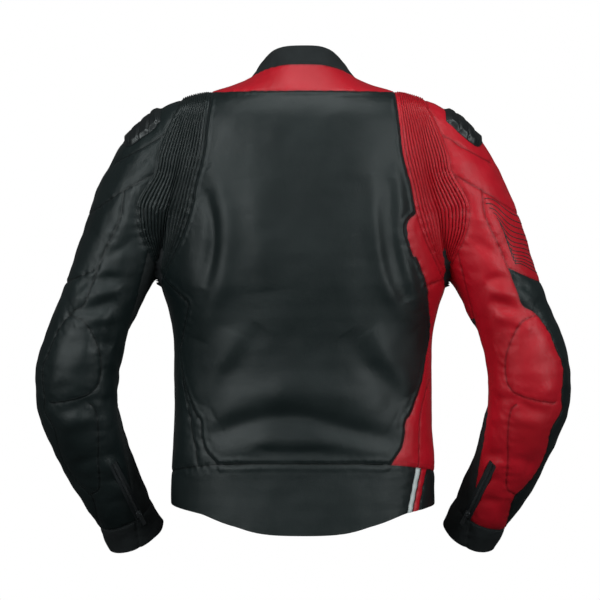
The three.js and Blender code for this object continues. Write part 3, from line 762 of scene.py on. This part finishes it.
def waves(points, number, shortest, longest, seed):
    draw = np.random.default_rng(seed)
    total = np.zeros(len(points))
    for _ in range(number):
        way = unit(draw.normal(size=3))
        length = draw.uniform(shortest, longest)
        total += np.sin(points @ way * (2 * np.pi / length) + draw.uniform(0, 6.3))
    return total / math.sqrt(number / 2)


# number, shortest, longest, seed, then the height on the sleeves and on the body
ripples = [(22, 60, 150, 3, 0.9, 0.6), (26, 22, 48, 5, 0.5, 0.14)]
pucker = {"waves": (26, 9, 17, 9), "height": 0.35, "reach": 9}
# dark is how far the painted shade reaches from a seam line.
sewn = {"calm": 26, "crown": 0.7, "depth": 1.1, "width": 2.4, "dark": 2.2}


# How far each point stands off the smooth skin.
def displaced(points, normals, seamDistance, sleeve):
    calm = ease(0, sewn["calm"], seamDistance)
    total = np.zeros(len(points))
    total += np.where(sleeve, 0, folded(points, normals, backFolds, -1, False))
    total += np.where(sleeve, folded(points, normals, armFolds, -1), 0)
    total += np.where(sleeve, folded(points, normals, innerArmFolds, 1), 0)
    total += np.where(sleeve, 0, folded(points, normals, frontFolds, 1))
    total *= 0.35 + 0.65 * calm
    for number, shortest, longest, seed, onArm, onBody in ripples:
        wave = waves(points, number, shortest, longest, seed)
        total += np.where(sleeve, onArm, onBody) * wave * (0.3 + 0.7 * calm)
    total += pucker["height"] * waves(points, *pucker["waves"]) * np.exp(-seamDistance / pucker["reach"])
    total += sewn["crown"] * ease(2, 16, seamDistance)
    return total - sewn["depth"] * np.exp(-(seamDistance / sewn["width"]) ** 2)


edges = skin.edges()
places = []
for name, on in skin.lines.items():
    if name != "shoulderLine":
        joins = on[edges[:, 0]] & on[edges[:, 1]]
        places += [skin.point[on], skin.point[edges[joins]].mean(1)]
places = np.vstack(places)
tree = KDTree(len(places))
for k, place in enumerate(places):
    tree.insert(place, k)
tree.balance()
seamDistance = np.array([tree.find(p)[2] for p in skin.point])
skin.data["rest"] = skin.point.copy()
# Painted shade along the seam grooves, strongest on the seam line.
skin.data["seam"] = np.exp(-(seamDistance / sewn["dark"]) ** 2)
height = displaced(skin.point, skin.normal, seamDistance, onSleeve(skin.point))
inBack = (skin.data["back"] < 0) & (skin.point[:, 1] < 0)
piping = {"height": 1.3, "away": 5.5, "width": 3.0}  # the raised edge of the back panel
away = (seamDistance - piping["away"]) / piping["width"]
height += np.where(inBack, piping["height"] * np.exp(-away ** 2), 0)
skin.data["point"] = skin.point + skin.normal * height[:, None]
skin.data["smooth"] = skin.normal
skin.data["normal"] = skin.normals()
print("displaced")

# ---------- panels ----------
x, y, z = skin.average("rest").T
out = np.abs(x)
arm = onSleeve(skin.average("rest"))
right = x > 0
anywhere = np.ones(len(x), bool)
at = {name: skin.average(name) for name in (
    "back", "accordion", "collar", "waist", "front", "gap", "under", "outer", "contrast", "cuff", "pocket",
    "zip", "yokeEnd", "stripe white", "stripe red")}
label = np.full(len(skin.faces), "", object)
split = {"yoke": -95, "elbow": -350, "cuff": -560, "arm": 160}  # where one panel gives way to the next


def assign(name, chosen):
    chosen = chosen & (label == "")
    for side, half in (("right", right), ("left", ~right)):
        label[chosen & half] = name.replace("SIDE", side)


ahead = (at["front"] > 0) & ~arm
assign("none", (at["gap"] < 0) & ahead & (y > 40))
assign("none", ((at["pocket"] < 0) & ahead) | ((at["zip"] < 0) & arm))
assign("accordion_SIDE", (at["accordion"] < 0) & (y < -2) & (at["back"] > 0))
assign("cuff_SIDE", arm & (at["cuff"] > 0) & (z < split["cuff"]))
high = z > split["elbow"]
for name, area in (("inner", at["under"] > 0), ("edge", at["outer"] < 0), ("outer", anywhere)):
    upper = at["contrast"] > 0 if name == "edge" else anywhere
    assign(f"upper_{name}_SIDE", arm & area & high & upper)
    assign(f"forearm_{name}_SIDE", arm & area & ~high)
assign("collar_front_SIDE", ahead & (at["collar"] > 0))
assign("hem_front_SIDE", ahead & (at["waist"] < 0))
assign("front_panel_SIDE", ahead)
assign("collar_trim", at["collar"] > 0)
assign("hem_white", (at["waist"] < 0) & (at["stripe white"] < 0) & (y < 0))
assign("hem_red", (at["waist"] < 0) & (at["stripe red"] < 0) & (y < 0))
assign("hem_band", at["waist"] < 0)
assign("back_panel", (at["back"] < 0) & (y < -1))
assign("yoke_SIDE", (z > split["yoke"]) & (out + 0.15 * z > split["arm"]))
assign("yoke_end", (z > split["yoke"]) & (at["yokeEnd"] < 0))
assign("yoke", z > split["yoke"])
assign("side_panel_SIDE", anywhere)
print("panels marked out")

# Two bodies, and the places where one ends and the other starts, for a piece that spans a bend; attach only
# bakes the transform of such a piece.
shoulders = {side: ("jacket", f"upper_arm_{side}", (s * 0.160, 0, 0), (s * 0.19521, 0, 0.00528))
             for side, s in (("right", 1), ("left", -1))}
elbows = {side: (f"upper_arm_{side}", f"forearm_{side}",
                 (s * 0.320, -0.014, -0.380), (s * 0.320, -0.002, -0.525))
          for side, s in (("right", 1), ("left", -1))}
fronts = {side: ("jacket", f"front_{side}", (0, -0.010, 0), (-s * 0.022, 0.034, 0))
          for side, s in (("right", 1), ("left", -1))}


def attach(made, rides, nodes):
    if isinstance(rides, tuple):
        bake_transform(made)
    else:
        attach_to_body(made, rides)
    if nodes:
        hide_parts(*nodes)
    return made


panels = {
    # name: material, its slot, what it rides on, the nodes it stands for, thickness
    "back_panel": (blackLeather, "black_leather", "jacket", ["back_panel"], 2.0),
    "yoke": (redLeather, "red_leather", "jacket", ["yoke_panel"], 2.0),
    "yoke_end": (blackLeather, "black_leather", "jacket", [], 2.0),
    "collar_trim": (neoprene, "neoprene", "jacket", ["collar_trim_back"], 4.0),
    "hem_band": (blackLeather, "black_leather", "jacket", ["hem_band_back"], 2.2),
    "hem_white": (whiteLeather, "white_leather", "jacket", ["hem_stripe_white"], 2.2),
    "hem_red": (redLeather, "red_leather", "jacket", ["hem_stripe_red"], 2.2),
}
colours = {"right": (redLeather, "red_leather"), "left": (blackLeather, "black_leather")}
for side in ("right", "left"):
    main = colours[side]
    shoulder, elbow, front = shoulders[side], elbows[side], fronts[side]
    cloth, dark = (stretchCloth, "stretch_cloth"), (blackLeather, "black_leather")
    panels |= {
        f"yoke_{side}": (*main, shoulder, [], 2.0),
        f"side_panel_{side}": (*main, shoulder, [f"side_panel_{side}"], 2.0),
        f"upper_outer_{side}": (*main, shoulder, [f"upper_sleeve_outer_{side}"], 2.0),
        f"upper_inner_{side}": (*(main if side == "right" else cloth), shoulder,
                                [f"upper_sleeve_inner_{side}"], 1.6),
        f"upper_edge_{side}": (*dark, shoulder, [], 2.0),
        f"forearm_outer_{side}": (*main, elbow, [f"forearm_outer_{side}", f"elbow_panel_{side}"], 2.0),
        f"forearm_inner_{side}": (*cloth, elbow, [f"forearm_inner_{side}"], 1.6),
        f"forearm_edge_{side}": (*dark, elbow, [f"forearm_edge_{side}"], 2.0),
        f"cuff_{side}": (neoprene, "neoprene", f"forearm_{side}", [f"cuff_{side}"], 3.0),
        f"front_panel_{side}": (*main, front, [f"front_panel_{side}"], 2.0),
        f"hem_front_{side}": (*dark, front, [f"hem_band_front_{side}"], 2.2),
        f"collar_front_{side}": (neoprene, "neoprene", front, [f"collar_front_{side}"], 4.0),
    }

# ---------- stitches ----------
finder = BVHTree.FromPolygons(skin.point.tolist(), skin.faces.tolist())
threads = {name: [] for name in panels}


# The points of a seam line in order, as one or more chains.
def chains(on):
    beside = {}
    for a, b in edges[on[edges[:, 0]] & on[edges[:, 1]]].tolist():
        beside.setdefault(a, []).append(b)
        beside.setdefault(b, []).append(a)
    left, made = set(beside), []
    starts = [v for v in beside if len(beside[v]) == 1] + list(beside)
    for start in starts:
        if start not in left:
            continue
        chain = [start]
        left.discard(start)
        while True:
            following = [v for v in beside[chain[-1]] if v in left]
            if not following:
                break
            chain.append(following[0])
            left.discard(following[0])
        if len(chain) > 4:
            made.append(skin.point[chain])
    return made


thread = {"pitch": 3.6, "halfLength": 1.25, "shortest": 12}


# Rows of stitches beside a seam, on its inner or its outer side.
def stitch(name, inner, offsets):
    for line in chains(skin.lines[name]):
        lengths = np.append(0, np.cumsum(np.linalg.norm(np.diff(line, axis=0), axis=1)))
        steps = np.arange(thread["pitch"], lengths[-1] - thread["pitch"], thread["pitch"])
        if lengths[-1] < thread["shortest"] or len(steps) < 3:
            continue
        smoothed = np.column_stack([np.interp(steps, lengths, line[:, k]) for k in range(3)])
        for place, way in zip(smoothed, np.gradient(smoothed, axis=0)):
            across = np.cross(finder.find_nearest(Vector(place))[1], way)
            if np.linalg.norm(across) < 1e-6:
                continue
            across = unit(across)
            for offset in offsets:
                for sign in eachSide:
                    spot, normal, number, _ = finder.find_nearest(Vector(place + across * offset * sign))
                    owner = label[number]
                    if owner in threads and (skin.data[name][skin.faces[number]].sum() < 0) == inner:
                        threads[owner].append((np.array(spot), unit(way), np.array(normal)))


# seam, whether on its inner side, and how far from it each row runs
stitchRows = [
    ("back", True, (2.8,)), ("collar", False, (2.4,)), ("collar", True, (2.6,)), ("waist", False, (2.6, 6.2)),
    ("under", False, (2.6,)), ("outer", False, (2.6,)), ("outer", True, (2.6,)), ("contrast", True, (2.6,)),
    ("contrast", False, (2.6,)), ("cuff", False, (3.0,)), ("front", False, (2.6,)),
    ("accordion", False, (3.0,)),
]
stitchRows += [(name + side, inner, (2.4,))
               for name in panelSeams for side in "+-" for inner in (True, False)]
for name, inner, offsets in stitchRows:
    if name in skin.lines:
        stitch(name, inner, offsets)
print("stitches", sum(len(t) for t in threads.values()))


def threadMesh(found):
    points, faces = [], []
    shape = np.array([(-1, 0, 0.05), (0, -0.42, 0.05), (1, 0, 0.05), (0, 0.42, 0.05), (0, 0, 0.42),
                      (0, 0, -0.4)])
    sides = np.array([(0, 1, 4), (1, 2, 4), (2, 3, 4), (3, 0, 4), (1, 0, 5), (2, 1, 5), (3, 2, 5),
                      (0, 3, 5)])
    for k, (spot, way, normal) in enumerate(found):
        across = unit(np.cross(normal, way))
        points.append(spot + (shape * (thread["halfLength"], 1, 1)) @ np.array([way, across, normal]))
        faces.append(sides + 6 * k)
    return np.vstack(points), np.vstack(faces)


for name, (material, slot, rides, nodes, thickness) in panels.items():
    if not (label == name).any():
        continue
    patch = skin.part(label == name)
    points, faces, loops, index = shell(patch, thickness)
    seam = np.tile(patch.data["seam"], 2)
    rest = np.tile(patch.data["rest"], (2, 1))
    if threads[name]:
        p, f = threadMesh(threads[name])
        faces = np.concatenate([faces, f + len(points)])
        loops = np.concatenate([loops, np.repeat(faceNormals(p, f)[:, None], 3, 1)])
        index = np.concatenate([index, np.full(len(f), 2)])
        points, rest = np.vstack([points, p]), np.vstack([rest, p])
        seam = np.concatenate([seam, np.zeros(len(p))])
    sewing = redThread if material is redLeather else blackThread
    made = build(name, points, faces, index, loops, [material, liningCloth, sewing], rest, seam)
    attach(made, rides, nodes)
print("panels made")

# ---------- ribbed stretch panels at the shoulder blades ----------
accordion = {"ribs": 15, "depth": 3.4, "edging": 3.0, "bead": 0.9, "thickness": 2.0}
ribbed = {"right": (ribRed, "red_leather"), "left": (ribBlack, "black_leather")}
edgeUp = np.vstack([[(133, 60)], smoothEdge])


# How far the points of a panel lie from its inner edge, and their share of the way across it.
def spread(patch, sign):
    view = patch.data["rest"][:, [0, 2]] * (sign, 1)
    inner, outer = (np.abs(measure(view, line)[0]) for line in (edgeUp, smoothAccordion))
    return inner, inner / np.maximum(inner + outer, 1e-6)


for side, sign in (("right", 1), ("left", -1)):
    patch = skin.part(label == f"accordion_{side}")
    patch.divide()
    inner, across = spread(patch, sign)
    patch.cut("edging", inner - accordion["edging"], np.ones(len(inner), bool), seam=False)
    for k in range(1, accordion["ribs"]):
        inner, across = spread(patch, sign)
        patch.cut("rib", (across * accordion["ribs"] - k) * 5, np.ones(len(inner), bool), seam=False)
    inner, across = spread(patch, sign)
    rib = (across * accordion["ribs"]) % 1
    rib = np.minimum(rib, 1 - rib) * 2
    crest = np.sqrt(np.clip(1 - (1 - rib) ** 2, 0, 1))
    fade = ease(0.5, 5, -patch.data["accordion"])
    ridge = accordion["depth"] * (crest - 0.35) * fade
    band = inner < accordion["edging"] + 0.05
    bead = np.clip(1 - ((inner / accordion["edging"] - 0.5) * 2) ** 2, 0, 1)
    ridge = np.where(band, accordion["bead"] * np.sqrt(bead), ridge)
    # Painted shade in the grooves between the ribs, none on the edging bead.
    patch.data["seam"] = np.where(band, 0, 1.6 * np.maximum(0, 1 - crest * 1.15) * fade)
    patch.data["point"] = patch.point + patch.data["smooth"] * ridge[:, None]
    patch.data["normal"] = patch.normals()
    edging = patch.average("edging") < 0
    for name, chosen, (material, slot), nodes in (
            (f"accordion_{side}", ~edging, ribbed[side], [f"accordion_panel_{side}"]),
            (f"accordion_edging_{side}", edging, colours[side], [])):
        cutOut = patch.part(chosen)
        points, faces, loops, index = shell(cutOut, accordion["thickness"])
        made = build(name, points, faces, index, loops, [material, liningCloth],
                     np.tile(cutOut.data["rest"], (2, 1)), np.tile(cutOut.data["seam"], 2))
        attach(made, shoulders[side], nodes)
print("ribbed panels made")

# ---------- hard cups on the shoulders ----------
cup = {"shape": [(206, -50), (228, -54), (252, -44), (260, -12), (257, 22), (238, 38), (214, 38), (205, 6)],
       "height": 4.4, "segments": 4, "start": 204, "pitch": 13.5, "lean": 0.12, "base": 0.5, "bulge": 1.2,
       "groove": 1.6}


# How far along the cup a point lies, from its inner end.
def alongCup(patch, sign):
    x, y, _ = patch.data["rest"].T
    return x * sign + cup["lean"] * y - cup["start"]


for side, sign in (("right", 1), ("left", -1)):
    near = (x * sign > 196) & (x * sign < 276) & (y > -68) & (y < 56) & (z > -150)
    patch = skin.part(near)
    patch.divide()
    outline = bend(cup["shape"] + cup["shape"][:1], 4)[:-1]
    view = patch.data["rest"][:, :2] * (sign, 1)
    patch.cut("cup", measure(view, outline, True)[0], np.ones(len(view), bool), seam=False)
    for k in range(1, cup["segments"]):
        run = alongCup(patch, sign)
        patch.cut("segment", run - cup["pitch"] * k, np.ones(len(run), bool), seam=False)
    patch = patch.part(patch.average("cup") < 0)
    run = alongCup(patch, sign) / cup["pitch"]
    edge = ease(0, 6, -patch.data["cup"])
    groove = np.abs((run + 0.5) % 1 - 0.5) * cup["pitch"]
    step = 1 - 0.55 * np.exp(-(groove / cup["groove"]) ** 2)
    tall = cup["base"] + cup["height"] * edge * step + cup["bulge"] * edge * (run % 1)
    patch.data["point"] = patch.point + patch.data["smooth"] * tall[:, None]
    patch.data["normal"] = patch.normals()
    points, faces, loops, index = shell(patch, tall - 0.2)
    made = build(f"cup_{side}", points, faces, index * 0, loops, [glossBlack],
                 np.tile(patch.data["rest"], (2, 1)))
    attach(made, f"upper_arm_{side}", [f"shoulder_cup_{side}"])
print("cups made")


# ---------- the zips ----------
zips = {"tape": 7.0, "bead": 2.6, "rise": 0.9, "pitch": 2.6}


def zipMesh(frames, sides):
    parts = []
    for sign in sides:
        lateral = (0.4, 7.0) if sign > 0 else (-7.0, -0.4)
        tape = []
        for a, b in zip(frames[:-1], frames[1:]):
            length = np.linalg.norm(b[0] - a[0])
            tape.append(blocks([a], (*lateral, 0, length + 0.02, -1.6, -0.5)))
        parts += [(joined(tape), 0)]
        shift = 0 if sign > 0 else zips["pitch"] / 2
        teeth = [(p + along * shift, across, along, out) for p, across, along, out in frames[:-1]]
        low, high = (-0.7, 1.9) if sign > 0 else (-1.9, 0.7)
        parts += [(blocks(teeth, (low, high, 0, 1.35, -0.7, zips["rise"])), 1)]
    points, faces = joined([part for part, _ in parts])
    index = np.concatenate([np.full(len(part[1]), kind) for part, kind in parts])
    return points, faces, index


def straight(place, start, length):
    origin, across, along, out = place
    return [(origin + along * d, across, along, out) for d in np.arange(start, length + 0.01, zips["pitch"])]


def addZip(name, frames, sides, rides, nodes):
    points, faces, index = zipMesh(frames, sides)
    loops = np.repeat(faceNormals(points, faces)[:, None], 3, 1)
    made = build(name, points, faces, index, loops, [tapeCloth, zipMetal])
    return attach(made, rides, nodes)


def rounded(made, width):
    bevel = made.modifiers.new("bevel", "BEVEL")
    bevel.width = width * metres
    bevel.segments = 2
    bevel.limit_method = "ANGLE"
    return made


# Boxes of the slider and of its pull: across, along and out from the tape.
sliderParts = {
    "slider": [(-3.4, 3.4, -5.3, 5.3, 1.5, 3.1), (-3.9, -2.9, -4.6, 4.0, 0.45, 2.0),
               (2.9, 3.9, -4.6, 4.0, 0.45, 2.0), (-0.8, 0.8, -3.4, 3.4, 5.0, 6.2),
               (-0.8, 0.8, -3.4, -2.3, 2.6, 5.4), (-0.8, 0.8, 2.3, 3.4, 2.6, 5.4)],
    "pull": [(-2.9, -1.5, -5.2, 0.6, 3.7, 4.7), (1.5, 2.9, -5.2, 0.6, 3.7, 4.7),
             (-2.9, 2.9, -0.6, 0.6, 3.7, 4.7), (-2.9, 2.9, -19.6, -4.8, 3.6, 4.8)],
    "rounding": 0.3,
}


def addSlider(name, place, sliderBody, pullBody, sliderNode, pullNode):
    for part, body, node in (("slider", sliderBody, sliderNode), ("pull", pullBody, pullNode)):
        points, faces = joined([blocks([place], box) for box in sliderParts[part]])
        loops = np.repeat(faceNormals(points, faces)[:, None], 3, 1)
        made = build(name.replace("slider", part), points, faces, np.zeros(len(faces)), loops, [zipMetal])
        attach(rounded(made, sliderParts["rounding"]), body, [node])


frontZip = {"bottom": -598, "top": -34, "short": 14, "slider": 6.5}


def arcFrame(angle):
    out = np.array([0, math.cos(angle), math.sin(angle)])
    along = np.array([0, -math.sin(angle), math.cos(angle)])
    place = np.array([0, frontDepth - frontRadius, frontHeight]) + frontRadius * out
    return place, np.array([1.0, 0, 0]), along, out


def arcAngle(height):
    return math.asin((height - frontHeight) / frontRadius)


def arcFrames(bottom, top):
    angles = np.arange(arcAngle(bottom), arcAngle(top), zips["pitch"] / frontRadius)
    return [arcFrame(angle) for angle in angles]


bottom, top, short = frontZip["bottom"], frontZip["top"], frontZip["short"]
addZip("front_teeth_right", arcFrames(bottom, top), (1,), "front_right", ["zip_teeth_right"])
addZip("front_teeth_left", arcFrames(bottom + short, top - short), (-1,), "front_left", ["zip_teeth_left"])
addSlider("front_slider", arcFrame(arcAngle(top - frontZip["slider"])), "zip_slider", "zip_pull",
          "zip_slider", "zip_pull")
for side, sign in (("right", 1), ("left", -1)):
    for name, place, length, start, body in (
            ("pocket", pocketPlace, pocketZip["length"], pocketZip["length"] - 11, f"front_{side}"),
            ("cuff", cuffPlace, cuffZip["length"], 7.0, f"forearm_{side}")):
        here = place if sign > 0 else mirroredFrame(place)
        addZip(f"{name}_teeth_{side}", straight(here, 0, length), (1, -1), body, [f"{name}_zip_teeth_{side}"])
        origin, across, along, out = here
        addSlider(f"{name}_slider_{side}", (origin + along * start, across, along, out),
                  f"{name}_slider_{side}", f"{name}_pull_{side}",
                  f"{name}_zip_slider_{side}", f"{name}_zip_pull_{side}")
print("zips made")

# ---------- raised lines on the right upper sleeve ----------
contour = {"number": 12, "top": -178, "left": 257, "long": 63, "spacing": 9.6, "width": 0.75, "rise": 0.45,
           "sunk": -0.4, "wave": 9, "slope": 26}
points, faces, start = [], [], 0
for k in range(contour["number"]):
    drop = contour["spacing"] * k * (1 - 0.022 * k)
    run = np.linspace(0, 1, 60)
    lineX = contour["left"] + 0.62 * drop * (1 - run) ** 2 + (contour["long"] + 0.28 * drop) * run
    wave = contour["wave"] * np.sin(run * 5.2 + 0.35 * k) * (1 - run)
    lineZ = contour["top"] - drop + wave - contour["slope"] * run
    strip = []
    for px, pz in zip(lineX, lineZ):
        spot, normal, number, _ = finder.ray_cast(Vector((px, -300, pz)), Vector((0, 1, 0)))
        if (spot is not None and label[number] == "upper_outer_right"
                and skin.data["outer"][skin.faces[number]].mean() < -0.8):
            strip.append((np.array(spot), np.array(normal)))
    if len(strip) < 8:
        continue
    line, normals = (np.array(values) for values in zip(*strip))
    across = np.cross(normals, np.gradient(line, axis=0))
    across /= np.linalg.norm(across, axis=1)[:, None]
    n = len(line)
    for u, level in ((-1, "sunk"), (-0.6, "rise"), (0.6, "rise"), (1, "sunk")):
        points.append(line + across * (u * contour["width"]) + normals * contour[level])
    i = np.arange(n - 1)
    for side in range(4):
        a, b = start + side * n + i, start + ((side + 1) % 4) * n + i
        faces += [np.stack([a, a + 1, b + 1], 1), np.stack([a, b + 1, b], 1)]
    e = start + np.arange(4) * n
    faces += [np.array([(e[0], e[1], e[2]), (e[0], e[2], e[3])]),
              np.array([(e[2], e[1], e[0]), (e[3], e[2], e[0])]) + n - 1]
    start += 4 * n
points, faces = np.vstack(points), np.vstack(faces)
made = build("contour_lines", points, faces, np.zeros(len(faces)), None, [blackThread])
attach(made, shoulders["right"], [])
print("contour lines made")

# ---------- inside: lining, pads, zip for trousers, loop ----------
lining = {"gap": 3.0, "thickness": 0.9, "below": 9, "top": 4, "foot": -604, "closing": 14, "armhole": 172,
          "armholeFoot": -250, "voxel": 7.0, "smoothing": 10}
inner = Surface(*grownTogether(lining["voxel"], lining["smoothing"]))
x, y, z = inner.point.T
inner.cut("front", y - 0.5 * np.abs(x) + 10, ~onSleeve(inner.point), seam=False)
x, y, z = inner.point.T
brim = np.minimum(follow(collarTop, y) - lining["below"], lining["top"])
inner.cut("top", z - brim, z > -90, seam=False)
x, y, z = inner.point.T
inner.cut("foot", z - lining["foot"], ~onSleeve(inner.point), seam=False)
x, y, z = inner.point.T
inner.cut("closing", np.abs(x) - lining["closing"], y > 30, seam=False)
x, y, z = inner.point.T
inner.cut("armhole", np.abs(x) - lining["armhole"], z > lining["armholeFoot"], seam=False)
p = inner.point
inner.data["rest"] = p.copy()
height = displaced(p, inner.normal, np.full(len(p), 30.0), onSleeve(p))
protector = {"outline": [(0, -112), (60, -116), (98, -140), (104, -190), (96, -300), (80, -420), (52, -478),
                         (0, -486)], "bulge": 9.5}
half = bend(protector["outline"], 3)
deep = measure(p[:, [0, 2]], np.vstack([half, half[::-1] * flip]), True)[0]
inner.data["bulge"] = protector["bulge"] * ease(-14, 10, -deep) * (p[:, 1] < -20)
inner.data["point"] = p + inner.normal * height[:, None]
inner.data["smooth"] = inner.normal
x, y, z = inner.average("rest").T
arm = onSleeve(inner.average("rest"))
ahead = inner.average("front") > 0
space = ~arm & (inner.average("top") < 0) & (inner.average("foot") > 0)
space &= (inner.average("armhole") < 0) | (z < lining["armholeFoot"])
apart = ahead & (inner.average("closing") > 0)
for name, chosen, rides, nodes in (
        ("lining_back", space & ~ahead, "jacket", ["lining_back", "back_protector"]),
        ("lining_front_right", space & apart & (x > 0), fronts["right"], ["lining_front_right"]),
        ("lining_front_left", space & apart & (x < 0), fronts["left"], ["lining_front_left"])):
    patch = inner.part(chosen)
    patch.data["point"] = patch.point - patch.normal * (lining["gap"] + patch.data["bulge"])[:, None]
    patch.data["normal"] = patch.normals()
    points, faces, loops, index = shell(patch, lining["thickness"])
    made = build(name, points, faces, index * 0, loops, [liningCloth], np.tile(patch.data["rest"], (2, 1)))
    attach(made, rides, nodes)
armour = {"depth": 3.2, "thickness": 6.5}
for side, sign in (("right", 1), ("left", -1)):
    shoulderPad = (x * sign > 214) & (x * sign < 284) & (np.abs(y) < 52) & (z > -190) & (z < -20)
    elbowPad = arm & (x * sign > 302) & (y < -12) & (z < -434) & (z > -571)
    for name, chosen, body, node in (("shoulder_pad", shoulderPad, "upper_arm", "shoulder_armour"),
                                     ("elbow_pad", elbowPad, "forearm", "elbow_armour")):
        patch = inner.part(chosen)
        if name == "shoulder_pad":
            patch = patch.part(patch.normals()[patch.faces].mean(1)[:, 2] > 0.15)
        patch.data["point"] = patch.point - patch.normal * armour["depth"]
        points, faces, loops, index = shell(patch, armour["thickness"])
        made = build(f"{name}_{side}", points, faces, index * 0, loops, [foam],
                     np.tile(patch.data["rest"], (2, 1)))
        attach(made, f"{body}_{side}", [f"{node}_{side}"])
trouserZip = {"halfLength": 84, "height": -584, "inside": 8.5}
run = np.arange(-trouserZip["halfLength"], trouserZip["halfLength"], zips["pitch"])
half, back = follow(bodyRows, trouserZip["height"])[0]
depth = (trouserZip["inside"] - back) * (1 - (np.abs(run) / half) ** squareness) ** (1 / squareness)
line = np.column_stack([run, depth, np.full(len(run), float(trouserZip["height"]))])


# Frames along a line, with a fixed way across it.
def framesAlong(line, across):
    ways = [unit(way) for way in np.gradient(line, axis=0)]
    return [(place, across, way, np.cross(across, way)) for place, way in zip(line, ways)]


addZip("trouser_teeth", framesAlong(line, np.array([0, 0, -1.0])), (1, -1), "jacket", ["trouser_zip"])
loopTape = {"line": [(-34, -74, -10), (-20, -66, -16), (0, -62, -20), (20, -66, -16), (34, -74, -10)],
            "halfWidth": 3.5, "halfThickness": 0.7}
wide, thick = loopTape["halfWidth"], loopTape["halfThickness"]
frames = framesAlong(bend(loopTape["line"], 6), np.array([0, 0, 1.0]))
points, faces = joined([blocks([a], (-wide, wide, 0, np.linalg.norm(b[0] - a[0]) + 0.3, -thick, thick))
                        for a, b in zip(frames[:-1], frames[1:])])
loops = np.repeat(faceNormals(points, faces)[:, None], 3, 1)
made = build("loop", points, faces, np.zeros(len(faces)), loops, [tapeCloth])
attach(made, "jacket", ["hanger_loop"])
print("inside made")

# ---------- surroundings ----------
middle = (0, 0, -0.33)
lamps = {"left": ((-2.2, -2.4, 0.7), 1.2, 2.2, 50), "right": ((2.3, -2.2, 0.5), 1.0, 2.2, 44),
         "top": ((0.1, -0.9, 2.2), 2.2, 1.0, 34), "ahead": ((-0.4, -3.6, 0.2), 1.2, 1.2, 9)}
for name, (place, width, height, power) in lamps.items():
    light = bpy.data.lights.new(name, "AREA")
    light.shape = "RECTANGLE"
    light.size, light.size_y, light.energy = width, height, power
    light.color = (0.92, 1.0, 1.0)
    made = bpy.data.objects.new(name, light)
    bpy.context.scene.collection.objects.link(made)
    made.location = place
    made.rotation_euler = (Vector(middle) - Vector(place)).to_track_quat("-Z", "Y").to_euler()


# White where the camera looks at it, and dimmer as a light on the leather.
def seenWhite(tree, dim, output):
    path, mixed = tree.nodes.new("ShaderNodeLightPath"), tree.nodes.new("ShaderNodeMixShader")
    bright = tree.nodes.new("ShaderNodeBackground" if dim.type == "BACKGROUND" else "ShaderNodeEmission")
    bright.inputs["Color"].default_value = (1, 1, 1, 1)
    bright.inputs["Strength"].default_value = 1.0
    tree.links.new(path.outputs["Is Camera Ray"], mixed.inputs[0])
    tree.links.new(dim.outputs[0], mixed.inputs[1])
    tree.links.new(bright.outputs[0], mixed.inputs[2])
    tree.links.new(mixed.outputs[0], output.inputs["Surface"])


studio = {"floor": -0.72, "reach": 3.0, "floorColour": (0.07, 0.07, 0.07, 1), "worldStrength": 0.07}
reach, low = studio["reach"], studio["floor"]
floorMesh = bpy.data.meshes.new("floor")
corners = [(-reach, -reach, low), (reach, -reach, low), (reach, reach, low), (-reach, reach, low)]
floorMesh.from_pydata(corners, [], [(0, 1, 2, 3)])
pale = bpy.data.materials.new("pale floor")
pale.use_nodes = True
shader = pale.node_tree.nodes["Principled BSDF"]
shader.inputs["Base Color"].default_value = studio["floorColour"]
shader.inputs["Roughness"].default_value = 0.9
seenWhite(pale.node_tree, shader, pale.node_tree.nodes["Material Output"])
floorMesh.materials.append(pale)
floor = bpy.data.objects.new("floor", floorMesh)
bpy.context.scene.collection.objects.link(floor)

world = bpy.data.worlds.new("world")
bpy.context.scene.world = world
world.use_nodes = True
glow = world.node_tree.nodes["Background"]
glow.inputs["Color"].default_value = (1, 1, 1, 1)
glow.inputs["Strength"].default_value = studio["worldStrength"]
seenWhite(world.node_tree, glow, world.node_tree.nodes["World Output"])

camera = bpy.data.cameras.new("camera")
camera.lens = 247
camera.sensor_width = 36
viewer = bpy.data.objects.new("camera", camera)
bpy.context.scene.collection.objects.link(viewer)
viewer.location = (-0.0044, -6.0, -0.323)
viewer.rotation_euler = (math.pi / 2, 0, 0)
bpy.context.scene.camera = viewer
bpy.context.scene.view_settings.view_transform = "Standard"
